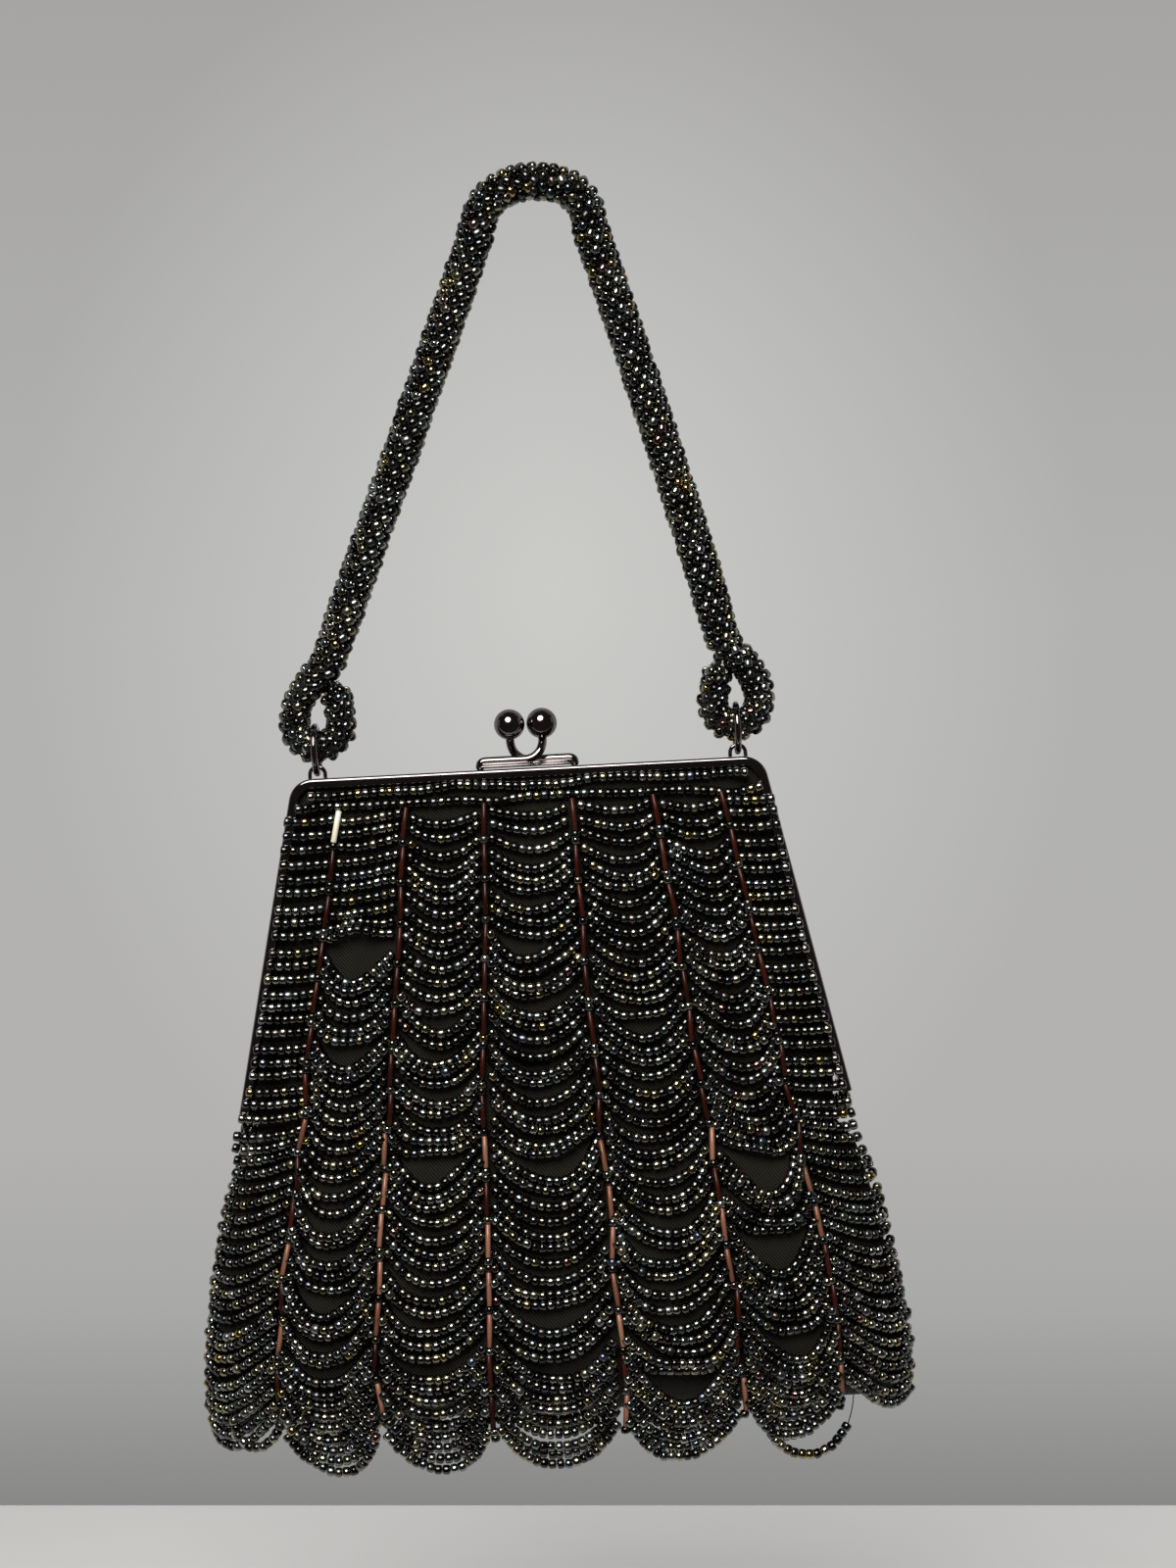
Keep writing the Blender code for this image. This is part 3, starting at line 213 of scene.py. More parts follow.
finishes = {"nickel": blackNickel(), "rocaille": lustreGlass(), "bugle": bugleGlass(),
            "faille": faille(), "satin": satin(), "cotton": cotton()}
print("materials:", len(finishes))


# Mesh tools

def addObject(name, data):
    made = bpy.data.objects.new(name, data)
    bpy.context.scene.collection.objects.link(made)
    return made


# Puts a mesh object in the scene, with its finish and the CAD nodes that it stands for
def addPiece(name, mesh, finish, replaced=(), body=None):
    piece = addObject(name, mesh)
    mesh.materials.clear()
    mesh.materials.append(finishes[finish])
    if replaced:
        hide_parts(*replaced)
    if body:
        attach(piece, body)
    return piece


def quadMesh(name, points, quads):
    mesh = bpy.data.meshes.new(name)
    points = np.asarray(points, np.float32)
    quads = np.asarray(quads, np.int32)
    mesh.vertices.add(len(points))
    mesh.vertices.foreach_set("co", points.ravel())
    mesh.loops.add(quads.size)
    mesh.loops.foreach_set("vertex_index", quads.ravel())
    mesh.polygons.add(len(quads))
    mesh.polygons.foreach_set("loop_start", np.arange(0, quads.size, 4, dtype=np.int32))
    mesh.update(calc_edges=True)
    mesh.validate()
    mesh.shade_smooth()
    return mesh


# Quads of a grid whose rows and columns may each close on themselves
def gridQuads(rows, columns, closeRows=False, closeColumns=False):
    r = np.arange(rows if closeRows else rows - 1)[:, None]
    c = np.arange(columns if closeColumns else columns - 1)[None, :]
    rNext, cNext = (r + 1) % rows, (c + 1) % columns
    return np.stack(np.broadcast_arrays(r * columns + c, r * columns + cNext,
                                        rNext * columns + cNext, rNext * columns + c), -1).reshape(-1, 4)


def unit(vectors):
    return vectors / np.maximum(np.linalg.norm(vectors, axis=-1, keepdims=True), 1e-12)


# A small shape turned about X from a closed profile of (along, radius)
def turnedShape(profile, steps):
    turn = np.arange(steps) * 2 * math.pi / steps
    profile = np.asarray(profile, float)
    along = np.repeat(profile[:, :1], steps, 1)
    points = np.stack((along, profile[:, 1:] * np.cos(turn), profile[:, 1:] * np.sin(turn)), -1).reshape(-1, 3)
    return points, gridQuads(len(profile), steps, True, True)


# Copies of a small shape in one mesh, each with its place, axis, outward side, size along and across, and tone
def strung(name, shape, places, axes, outward, along, across, tones):
    points, quads = shape
    places, x = np.asarray(places), unit(np.asarray(axes))
    z = unit(outward - x * np.sum(outward * x, -1, keepdims=True))
    y = np.cross(z, x)
    along, across = (np.broadcast_to(np.asarray(size, float), (len(places),))[:, None, None]
                     for size in (along, across))
    made = places[:, None, :] + along * points[None, :, :1] * x[:, None, :]
    made = made + across * (points[None, :, 1:2] * y[:, None, :] + points[None, :, 2:] * z[:, None, :])
    shift = (np.arange(len(places)) * len(points))[:, None, None]
    mesh = quadMesh(name, toScene(made.reshape(-1, 3)), (quads[None] + shift).reshape(-1, 4))
    tone = mesh.attributes.new("tone", "FLOAT", "POINT")
    tone.data.foreach_set("value", np.repeat(np.asarray(tones, np.float32), len(points)))
    return mesh


# A section of (inward, forward) points drawn along a path, with its two side directions at each path point
def swept(path, inward, forward, section, closed=False):
    path, section = np.asarray(path, float), np.asarray(section, float)
    if section.ndim == 2:
        section = np.broadcast_to(section, (len(path),) + section.shape)
    points = path[:, None] + section[..., :1] * inward[:, None] + section[..., 1:] * forward[:, None]
    return points.reshape(-1, 3), gridQuads(len(path), section.shape[1], closed, True)


# Directions beside a path that don't twist about it
def sideFrames(path, closed=False):
    path = np.asarray(path, float)
    ahead = unit(np.roll(path, -1, 0) - np.roll(path, 1, 0)) if closed else unit(np.gradient(path, axis=0))
    side = np.zeros_like(path)
    start = np.array((0.0, 1.0, 0.0)) if abs(ahead[0][1]) < 0.9 else np.array((1.0, 0.0, 0.0))
    side[0] = unit(start - ahead[0] * start.dot(ahead[0]))
    for i in range(1, len(path)):
        side[i] = unit(side[i - 1] - ahead[i] * side[i - 1].dot(ahead[i]))
    return ahead, side, np.cross(ahead, side)


# A round wire along a path, with domed ends, or closed on itself
def wire(path, radius, steps=16, closed=False, domed=True):
    path = np.asarray(path, float)
    radius = np.broadcast_to(np.asarray(radius, float), (len(path),)).copy()
    if not closed and domed:
        first, last = unit(path[0] - path[1]), unit(path[-1] - path[-2])
        turns = np.radians((90, 70, 45, 20))
        heads = [path[0] + first * radius[0] * math.sin(t) for t in turns]
        tails = [path[-1] + last * radius[-1] * math.sin(t) for t in turns[::-1]]
        headSizes = [max(radius[0] * math.cos(t), 0.01) for t in turns]
        tailSizes = [max(radius[-1] * math.cos(t), 0.01) for t in turns[::-1]]
        path = np.concatenate((heads, path, tails))
        radius = np.concatenate((headSizes, radius, tailSizes))
    _, side, other = sideFrames(path, closed)
    turn = np.arange(steps) * 2 * math.pi / steps
    section = radius[:, None, None] * np.stack((np.cos(turn), np.sin(turn)), -1)[None]
    return swept(path, side, other, section, closed)


# A Catmull-Rom curve through points
def smoothPath(points, steps):
    knots = np.asarray(points, float)
    knots = np.concatenate(([2 * knots[0] - knots[1]], knots, [2 * knots[-1] - knots[-2]]))
    t = (np.arange(steps) / steps)[:, None]
    made = []
    for i in range(1, len(knots) - 2):
        a, b, c, d = knots[i - 1:i + 3]
        made.append((2 * b + (c - a) * t + (2 * a - 5 * b + 4 * c - d) * t**2
                     + (3 * b - a - 3 * c + d) * t**3) / 2)
    return np.concatenate(made + [knots[-2:-1]])


def lengthsAlong(path):
    return np.concatenate(([0.0], np.cumsum(np.linalg.norm(np.diff(path, axis=0), axis=1))))


def pathLength(path):
    return float(np.linalg.norm(np.diff(path, axis=0), axis=1).sum())


# Values of a path's columns at distances along it
def evenly(path, distances, lengths=None):
    lengths = lengthsAlong(path) if lengths is None else lengths
    return np.stack([np.interp(distances, lengths, path[:, i]) for i in range(path.shape[1])], -1)


# Places, directions and outward sides at distances along a path, each direction taken over a reach
def standing(path, outward, at, reach):
    both = evenly(np.concatenate((path, outward), 1), at)
    return both[:, :3], unit(evenly(path, at + reach) - evenly(path, at - reach)), both[:, 3:]


# Several sets of points and quads as one mesh
def joined(name, sets):
    starts = np.cumsum([0] + [len(points) for points, _ in sets])
    quads = [quads + start for (_, quads), start in zip(sets, starts)]
    return quadMesh(name, toScene(np.concatenate([points for points, _ in sets])), np.concatenate(quads))


# Closes the open ends of swept and turned shapes, eases hard edges, and gives them their crease
def closeEnds(mesh, sharp=35, bevel=0.0, weld=False):
    work = bmesh.new()
    work.from_mesh(mesh)
    if weld:
        bmesh.ops.remove_doubles(work, verts=work.verts, dist=1e-7)
    holes = [edge for edge in work.edges if edge.is_boundary]
    if holes:
        bmesh.ops.holes_fill(work, edges=holes, sides=0)
    bmesh.ops.recalc_face_normals(work, faces=work.faces)
    if bevel:
        hard = [e for e in work.edges if e.is_manifold and e.calc_face_angle(0.0) > math.radians(50)]
        bmesh.ops.bevel(work, geom=hard, offset=bevel * mm, segments=3, profile=0.5, affect="EDGES")
    work.to_mesh(mesh)
    work.free()
    mesh.shade_smooth()
    mesh.set_sharp_from_angle(angle=math.radians(sharp))
    return mesh


# A swept shape as a mesh with closed ends
def capped(name, shape):
    points, quads = shape
    return closeEnds(quadMesh(name, toScene(points), quads))


# A flat outline of (a, b) in its own plane, given a thickness and eased edges
def plate(name, outline, thickness, place, ease):
    work = bmesh.new()
    face = work.faces.new([work.verts.new((a, b, -thickness / 2)) for a, b in outline])
    made = bmesh.ops.extrude_face_region(work, geom=[face])
    moved = [v for v in made["geom"] if isinstance(v, bmesh.types.BMVert)]
    bmesh.ops.translate(work, verts=moved, vec=(0.0, 0.0, thickness))
    bmesh.ops.recalc_face_normals(work, faces=work.faces)
    mesh = bpy.data.meshes.new(name)
    work.to_mesh(mesh)
    work.free()
    mesh.transform(place)
    return closeEnds(mesh, bevel=ease)


# A piece turned about X, closed where its profile meets the axis
def lathe(name, profile, steps, place):
    points, _ = turnedShape(profile, steps)
    mesh = quadMesh(name, points * mm, gridQuads(len(profile), steps, False, True))
    closeEnds(mesh, sharp=40, weld=True)
    mesh.transform(place)
    return mesh


def merged(name, meshes):
    work = bmesh.new()
    for mesh in meshes:
        work.from_mesh(mesh)
        bpy.data.meshes.remove(mesh)
    made = bpy.data.meshes.new(name)
    work.to_mesh(made)
    work.free()
    return made


# The body's surface

bag = {
    # depth under the frame's top, half width, half depth, set-back of the edge, roundness
    "clothRows": [
        (1.30, 48.54, 2.90, 2.50, 1.0), (3.16, 52.03, 3.17, 2.50, 1.0), (6.48, 53.04, 3.54, 2.50, 1.0),
        (45.03, 61.22, 6.45, 2.50, 1.0), (68.00, 66.09, 7.46, 2.50, 1.0), (73.70, 64.85, 8.05, 2.50, 1.0),
        (82.30, 64.85, 8.20, 1.25, 1.0), (88.24, 68.99, 9.19, 0.15, 0.75), (96.82, 71.38, 10.50, 0.15, 0.5),
        (109.36, 74.00, 12.20, 0.15, 0.5), (122.56, 75.92, 13.40, 0.15, 0.5), (131.80, 77.00, 13.60, 0.15, 0.5),
        (138.40, 76.92, 11.90, 0.15, 0.5), (142.69, 75.77, 8.16, 0.15, 0.5), (145.00, 73.53, 0.15, 0.15, 0.5)],
    "hingeRows": [   # the beads lie over the hinge, where the cloth is drawn in
        (73.70, 65.60, 8.05, 2.00, 1.0), (82.30, 68.70, 8.20, 0.90, 1.0), (85.40, 69.70, 8.60, 0.50, 0.8)],
    "hangingRows": [   # and hang free below the cloth
        (131.80, 77.00, 13.60, 0.15, 0.5), (143.40, 76.80, 13.60, 0.15, 0.5), (155.00, 72.00, 12.50, 0.15, 0.5),
        (162.00, 69.10, 11.84, 0.15, 0.5)],
    "clothEase": 0.8, "beadEase": 2.0,   # how softly the rows run into each other
    "columns": (-0.80, -0.515, -0.19, 0.18, 0.525, 0.81),   # bugle columns, as shares of the half width
    "beadOffset": 2.35, "bugleOffset": 3.05, "railBeadOffset": 1.95, "looseOffset": 3.0,
}
bag["beadRows"] = bag["clothRows"][:5] + bag["hingeRows"] + bag["clothRows"][7:11] + bag["hangingRows"]


# Rows every half millimetre, with their corners eased
def surfaceTable(rows, ease):
    rows = np.asarray(rows)
    depth = np.arange(rows[0, 0], rows[-1, 0] + 0.01, 0.5)
    reach = int(ease * 6)
    weights = np.exp(-0.5 * (np.arange(-reach, reach + 1) / (ease * 2)) ** 2)
    weights /= weights.sum()
    columns = [np.interp(depth, rows[:, 0], rows[:, i]) for i in range(1, 5)]
    return depth, [np.convolve(np.pad(c, reach, "reflect", reflect_type="odd"), weights, "valid") for c in columns]


clothTable = surfaceTable(bag["clothRows"], bag["clothEase"])
beadTable = surfaceTable(bag["beadRows"], bag["beadEase"])


# Points of the body's surface and their outward normals. A turn runs from -90 degrees at the left to 90 at the right
def skin(table, turn, depth, side, offset=0.0):
    turn, depth, offset = np.broadcast_arrays(*(np.asarray(values, float) for values in (turn, depth, offset)))
    halfPi = math.pi / 2

    def place(t, d):
        width, deep, edge, roundness = (np.interp(d, table[0], column) for column in table[1])
        ahead = edge + (deep - edge) * np.maximum(np.cos(t), 1e-6) ** (2 * roundness)
        return np.stack((width * np.sin(t), side * ahead, -d), -1)

    inner = np.clip(turn, 0.03 - halfPi, halfPi - 0.03)
    across = place(inner + 0.02, depth) - place(inner - 0.02, depth)
    down = place(inner, depth + 0.4) - place(inner, depth - 0.4)
    normal = side * unit(np.cross(across, down))
    return place(turn, depth) + normal * offset[..., None], normal


def halfWidth(depth):
    return np.interp(depth, beadTable[0], beadTable[1][0])


# The turn at which the surface reaches a place across
def turnAt(across, width):
    return np.arcsin(np.clip(across / width, -0.999, 0.999))


# Snap frame

rail = {
    "width": 106.0, "height": 79.0, "spread": 16.75, "corner": 5.5, "cornerSteps": 14,
    "deep": 4.85, "tall": 2.2, "wall": 0.9, "slot": 1.4, "rounding": 0.7, "innerRounding": 0.45, "lip": 0.28,
    "gap": 0.3, "legEnd": 76.2,
    "rows": [(3.7, 0.35, 49.6), (7.0, 0.55, 52.6)], "rowTurn": 44.0,   # bead rows: depth, waviness, reach
    "rowSeed": 77, "rowSteps": 241, "waves": 15, "waveReach": 54,
    "lugRadius": 2.2, "lugThick": 0.8, "lugFace": 68.35, "lugPlay": 0.3, "lugRoot": 2.2, "lugEase": 0.18,
    "legClear": 2.8, "rivet": 0.8, "rivetHead": 1.9, "rivetHeadThick": 0.7,
    "eyeWire": 0.45, "eyeInner": 1.3, "eyeTop": 3.2, "eyeRoot": 0.8, "ringAt": 47.8,
}
lean = math.atan(rail["spread"] / rail["height"])
cornerCentre = rail["width"] / 2 - rail["corner"] * (1 - math.sin(lean)) / math.cos(lean)


def railHalfWidth(depth):
    return rail["width"] / 2 + depth * rail["spread"] / rail["height"]


# The outline of the frame's outside with its inward directions, from the left leg's end to the right one's
def railPath():
    right, inward = [], []
    for x in np.linspace(0.0, cornerCentre, 9)[:-1]:
        right.append((x, 0.0))
        inward.append((0.0, -1.0))
    for turn in np.linspace(math.pi / 2, lean, rail["cornerSteps"]):
        right.append((cornerCentre + rail["corner"] * math.cos(turn), rail["corner"] * (math.sin(turn) - 1)))
        inward.append((-math.cos(turn), -math.sin(turn)))
    for depth in np.linspace(-right[-1][1], rail["legEnd"], 9)[1:]:
        right.append((railHalfWidth(depth), -depth))
        inward.append(inward[-1])
    whole = [[(-x, z) for x, z in half[:0:-1]] + half for half in (right, inward)]
    return (np.array([(x, 0.0, z) for x, z in points]) for points in whole)


def arc(centre, radius, start, end, steps):
    return [(centre[0] + radius * math.cos(t), centre[1] + radius * math.sin(t))
            for t in np.radians(np.linspace(start, end, steps))]


# The rolled channel's section: rounded outer shoulder, folded lips, and a slot that grips the cloth
def railSection():
    r = rail
    near, far, inner = r["gap"] / 2, r["gap"] / 2 + r["deep"], r["innerRounding"]
    points = [(r["tall"], near), (inner, near)] + arc((inner, near + inner), inner, 270, 180, 5)[1:]
    points += arc((r["rounding"], far - r["rounding"]), r["rounding"], 180, 90, 9)
    points += arc((r["tall"] - r["lip"], far - r["lip"]), r["lip"], 90, 0, 4)
    return points + [(r["tall"], far - r["wall"]), (r["tall"] - r["slot"], far - r["wall"]),
                     (r["tall"] - r["slot"], near + r["wall"]), (r["tall"], near + r["wall"])]


# The flat end of a leg: a round lug with an arm up to the rail
def lugOutline(side):
    near, far = rail["gap"] / 2 + 0.5, rail["gap"] / 2 + rail["deep"] - rail["rounding"] / 2
    top = rail["legClear"] + rail["lugRoot"]
    start = math.asin(near / rail["lugRadius"])
    outline = [(-far, rail["legClear"]), (-far, top), (-near, top)]
    outline += [(rail["lugRadius"] * math.sin(t), rail["lugRadius"] * math.cos(t))
                for t in np.linspace(-start, 1.5 * math.pi - 2 * start, 24)]
    return [(-side * a, b) for a, b in outline]


# The small arch on the rear rail that a ring passes through
def eyeMesh(name, hand):
    middle = rail["eyeInner"] + rail["eyeWire"]
    centre = rail["eyeTop"] - rail["eyeWire"] - middle
    arch = [(middle * math.cos(t), handleLine, centre + middle * math.sin(t)) for t in np.linspace(0, math.pi, 17)]
    arch = [(middle, handleLine, -rail["eyeRoot"])] + arch + [(-middle, handleLine, -rail["eyeRoot"])]
    return capped(name, wire(np.array(arch) + (hand * rail["ringAt"], 0.0, 0.0), rail["eyeWire"], 12))


def frameHalf(name, side, body, node):
    path, inward = railPath()
    section = [(a, side * b) for a, b in railSection()]
    forward = np.tile((0.0, 1.0, 0.0), (len(path), 1))
    meshes = [capped(name + " rail", swept(path, inward, forward, section))]
    upright = Matrix(((0, 0, 1, 0), (1, 0, 0, 0), (0, 1, 0, 0), (0, 0, 0, 1)))
    layer = 0.0 if side == frontSide else rail["lugThick"] + rail["lugPlay"]
    for hand, _ in hands:
        across = hand * (rail["lugFace"] - layer - rail["lugThick"] / 2)
        place = Matrix.Translation(toScene((across, 0.0, -rail["height"]))) @ upright @ Matrix.Scale(mm, 4)
        meshes.append(plate(name + " lug", lugOutline(side), rail["lugThick"], place, rail["lugEase"]))
        if side == rearSide:
            meshes.append(eyeMesh(name + " eye", hand))
    return addPiece(name, merged(name, meshes), "nickel", [node], body)


def hingeRivet(name, hand, node):
    shaft = 2 * rail["lugThick"] + 3 * rail["lugPlay"]
    start = rail["lugFace"] - 2 * rail["lugThick"] - 2 * rail["lugPlay"]
    head, thick, pin = rail["rivetHead"], rail["rivetHeadThick"], rail["rivet"]
    dome = [(thick * math.sin(t) * 0.95, head * math.cos(t) ** 0.8 if t < 1.57 else 0.0)
            for t in np.linspace(0.0, math.pi / 2, 9)]
    profile = [(shaft + a, b) for a, b in dome[::-1]] + [(shaft, pin), (0.0, pin)] + [(-a, b) for a, b in dome]
    place = Matrix.Translation(toScene((hand * start, 0.0, -rail["height"]))) @ Matrix.Scale(hand, 4, (1, 0, 0))
    mesh = lathe(name, profile, 28, place)
    if hand < 0:
        mesh.flip_normals()
    return addPiece(name, mesh, "nickel", [node], "bag")


frameHalf("front_frame_half", frontSide, "front", "front_frame")
frameHalf("rear_frame_half", rearSide, "bag", "rear_frame")
for hand, word in hands:
    hingeRivet(f"{word}_hinge_rivet", hand, f"hinge_rivet_{word}")
print("snap frame: two halves, two rivets")


# Kiss clasp

clasp = {
    "ballRadius": 3.5, "ballHeight": 10.0, "ballGap": 0.3, "crossing": 0.6,
    "reach": 10.5, "overlap": 1.6, "wire": 1.0, "wireHeight": 1.9,
    "steps": [(4.0, 0.6, 0.0), (3.0, 0.5, 0.35)],   # the base and the step on it: deep, tall, and cut back
    "lift": 0.3, "seatEase": 0.22, "boreDepth": 1.5, "bore": 1.3, "borePlay": 0.08,
}


def claspHalf(name, side, body, node):
    reach, high = clasp["reach"], clasp["wireHeight"]
    turn = -side   # the front plate lies to the left, the rear one is the same turned half round
    middle = rail["gap"] / 2 + rail["deep"] / 2
    meshes = []
    low = clasp["lift"]
    for deep, tall, trim in clasp["steps"]:
        left, right = -reach + trim, clasp["overlap"] - trim
        outline = [(left, middle - deep / 2), (right, middle - deep / 2),
                   (right, middle + deep / 2), (left, middle + deep / 2)]
        place = Matrix.Translation(toScene((0.0, 0.0, low + tall / 2))) @ Matrix.Scale(mm, 4)
        outline = [(turn * a, side * b) for a, b in outline]
        meshes.append(plate(name + " plate", outline, tall, place, clasp["seatEase"]))
        low += tall
    # the wire runs along the plate, turns down over its far end, and bends up into the ball
    ballX = clasp["ballRadius"] + clasp["ballGap"] / 2
    knots = [(-reach - 0.15, -middle, 0.75), (-reach + 0.05, -middle, 1.45), (-reach + 0.75, -middle, 1.86),
             (-reach + 2.5, -middle, high), (-5.0, -middle, high), (-1.4, -middle, high),
             (0.4, -middle, high + 0.10), (1.9, -middle + 0.1, high + 0.75), (3.0, -middle + 0.45, high + 1.9),
             (3.5, -middle + 1.3, high + 3.1), (ballX, -clasp["crossing"] * 0.4, high + 4.1),
             (ballX, clasp["crossing"], high + 5.1), (ballX, clasp["crossing"], 7.6)]
    meshes.append(capped(name + " wire", wire(smoothPath(knots, 6) * (turn, turn, 1.0), clasp["wire"], 20)))
    return addPiece(name, merged(name, meshes), "nickel", [node], body)


def claspBall(name, side, body, node):
    radius, wall = clasp["ballRadius"], clasp["bore"] - clasp["borePlay"]
    mouth = math.asin(clasp["bore"] / radius)
    profile = [(radius * math.cos(t), radius * math.sin(t)) for t in np.linspace(0.0, math.pi - mouth, 30)]
    profile += [(-radius * math.cos(mouth) + 0.05, wall), (clasp["boreDepth"] - radius, wall),
                (clasp["boreDepth"] - radius, 0.0)]
    centre = (-side * (radius + clasp["ballGap"] / 2), -side * clasp["crossing"], clasp["ballHeight"])
    place = Matrix.Translation(toScene(centre)) @ Matrix.Rotation(-math.pi / 2, 4, "Y")
    return addPiece(name, lathe(name, profile, 48, place), "nickel", [node], body)


claspHalf("front_clasp", frontSide, "front", "clasp_front")
claspHalf("rear_clasp", rearSide, "bag", "clasp_rear")
claspBall("front_clasp_ball", frontSide, "front", "clasp_ball_front")
claspBall("rear_clasp_ball", rearSide, "bag", "clasp_ball_rear")
print("kiss clasp: two plates with wires, two balls")


# Rings

ring = {"wire": 0.75, "radius": 5.35, "centre": 6.6, "steps": 64}


def handleRing(name, hand, node):
    turns = np.linspace(0, 2 * math.pi, ring["steps"], endpoint=False)
    path = np.stack((np.full(ring["steps"], hand * rail["ringAt"]), handleLine + ring["radius"] * np.cos(turns),
                     ring["centre"] + ring["radius"] * np.sin(turns)), -1)
    return addPiece(name, joined(name, [wire(path, ring["wire"], 16, closed=True)]), "nickel", [node], "rings")


for hand, word in hands:
    handleRing(f"{word}_ring", hand, f"ring_{word}")
print("rings: 2")


# Beads

bead = {   # reach is how far to either side the thread's direction is taken from
    "wide": 2.26, "long": 1.70, "hole": 0.8, "pitch": 1.79, "reach": 0.6, "offPlace": 0.055, "offTrue": 0.085,
    "longSpread": 0.06, "wideSpread": 0.035, "tones": (1.6, 1.7),
}
bugle = {
    "wide": 1.3, "long": 7.3, "hole": 0.6, "pitch": 9.8, "reach": 1.5, "offTrue": 0.02, "seed": 900, "rearSeed": 50,
    "top": 7.0, "ends": (144.0, 149.0, 149.0, 149.0, 149.0, 147.0),   # depths between which each column is laid
    "wander": 0.006, "first": 0.6, "spare": 2.0, "gap": 0.1, "longs": (0.96, 1.02),
    "beadRoom": 1.44, "beadSkew": 0.08, "beadLong": 0.88, "beadWide": 0.95, "afterBeads": 0.15,
    # the lower bugles that catch the lamp get lighter browns, a painted reflection
    "paintedReflectionFrom": 0.5, "paintedReflectionShare": 0.6, "paintedReflection": (0.55, 0.9), "dark": (0.0, 0.42),
    "firstMiddle": 9.36, "toJoint": 3.6,
}


# A small shape turned from the profile of its far end, the same at both ends
def bothEnds(end, steps, middle=()):
    return turnedShape([(-a, b) for a, b in end] + end[::-1] + list(middle), steps)


def beadShape(steps):
    half, outer, hole = bead["long"] / 2, bead["wide"] / 2, bead["hole"] / 2
    end = [(0.92 * half, hole + 0.10), (0.99 * half, 0.68 * outer), (0.86 * half, 0.88 * outer), (0.5 * half, outer)]
    return bothEnds(end, steps, [(0.0, hole)])


def bugleShape(steps):
    half, outer, hole = bugle["long"] / 2, bugle["wide"] / 2, bugle["hole"] / 2
    return bothEnds([(half - 0.04, hole), (half, hole + 0.12), (half, outer - 0.14), (half - 0.12, outer)], steps)


rocaille, ropeRocaille, bugleTube = beadShape(10), beadShape(12), bugleShape(12)


# Beads threaded on a path, packed at the pitch, each a little off true
def threadBeads(path, outward, rng):
    length = pathLength(path)
    count = max(int(round(length / bead["pitch"])), 1)
    places, ahead, outward = standing(path, outward, (np.arange(count) + 0.5) * length / count, bead["reach"])
    places = places + rng.normal(0.0, bead["offPlace"], (count, 3))
    return places, ahead + rng.normal(0.0, bead["offTrue"], (count, 3)), outward


# Several threads' beads as one set of places, axes and outward sides
def gathered(threads):
    return [np.concatenate(part) for part in zip(*threads)]


def tonesFor(count, rng):
    return rng.beta(*bead["tones"], count)


# Front pieces cross the frame's hinge: they are left with their placing baked into the mesh and no body. Rear pieces go
# with the bag
def follow(piece, side):
    if side == frontSide:
        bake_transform(piece)
    else:
        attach(piece, "bag")


# Seed beads as one piece, with their tones drawn at random
def addBeads(name, beads, side, rng, long=1.0, wide=1.0, replaced=()):
    mesh = strung(name, rocaille, *beads, long, wide, tonesFor(len(beads[0]), rng))
    follow(addPiece(name, mesh, "rocaille", replaced), side)


# The CAD nodes that a dressed piece stands for, which on the front are cut at the hinge
def nodesOf(kind, word, number):
    return [f"{kind}_{word}_{part}{number}" for part in (("upper_", "lower_") if word == "front" else ("",))]


def eased(values):
    values = np.clip(values, 0.0, 1.0)
    return values * values * (3 - 2 * values)


def between(ends, share):
    return ends[0] + (ends[1] - ends[0]) * share


# Swags

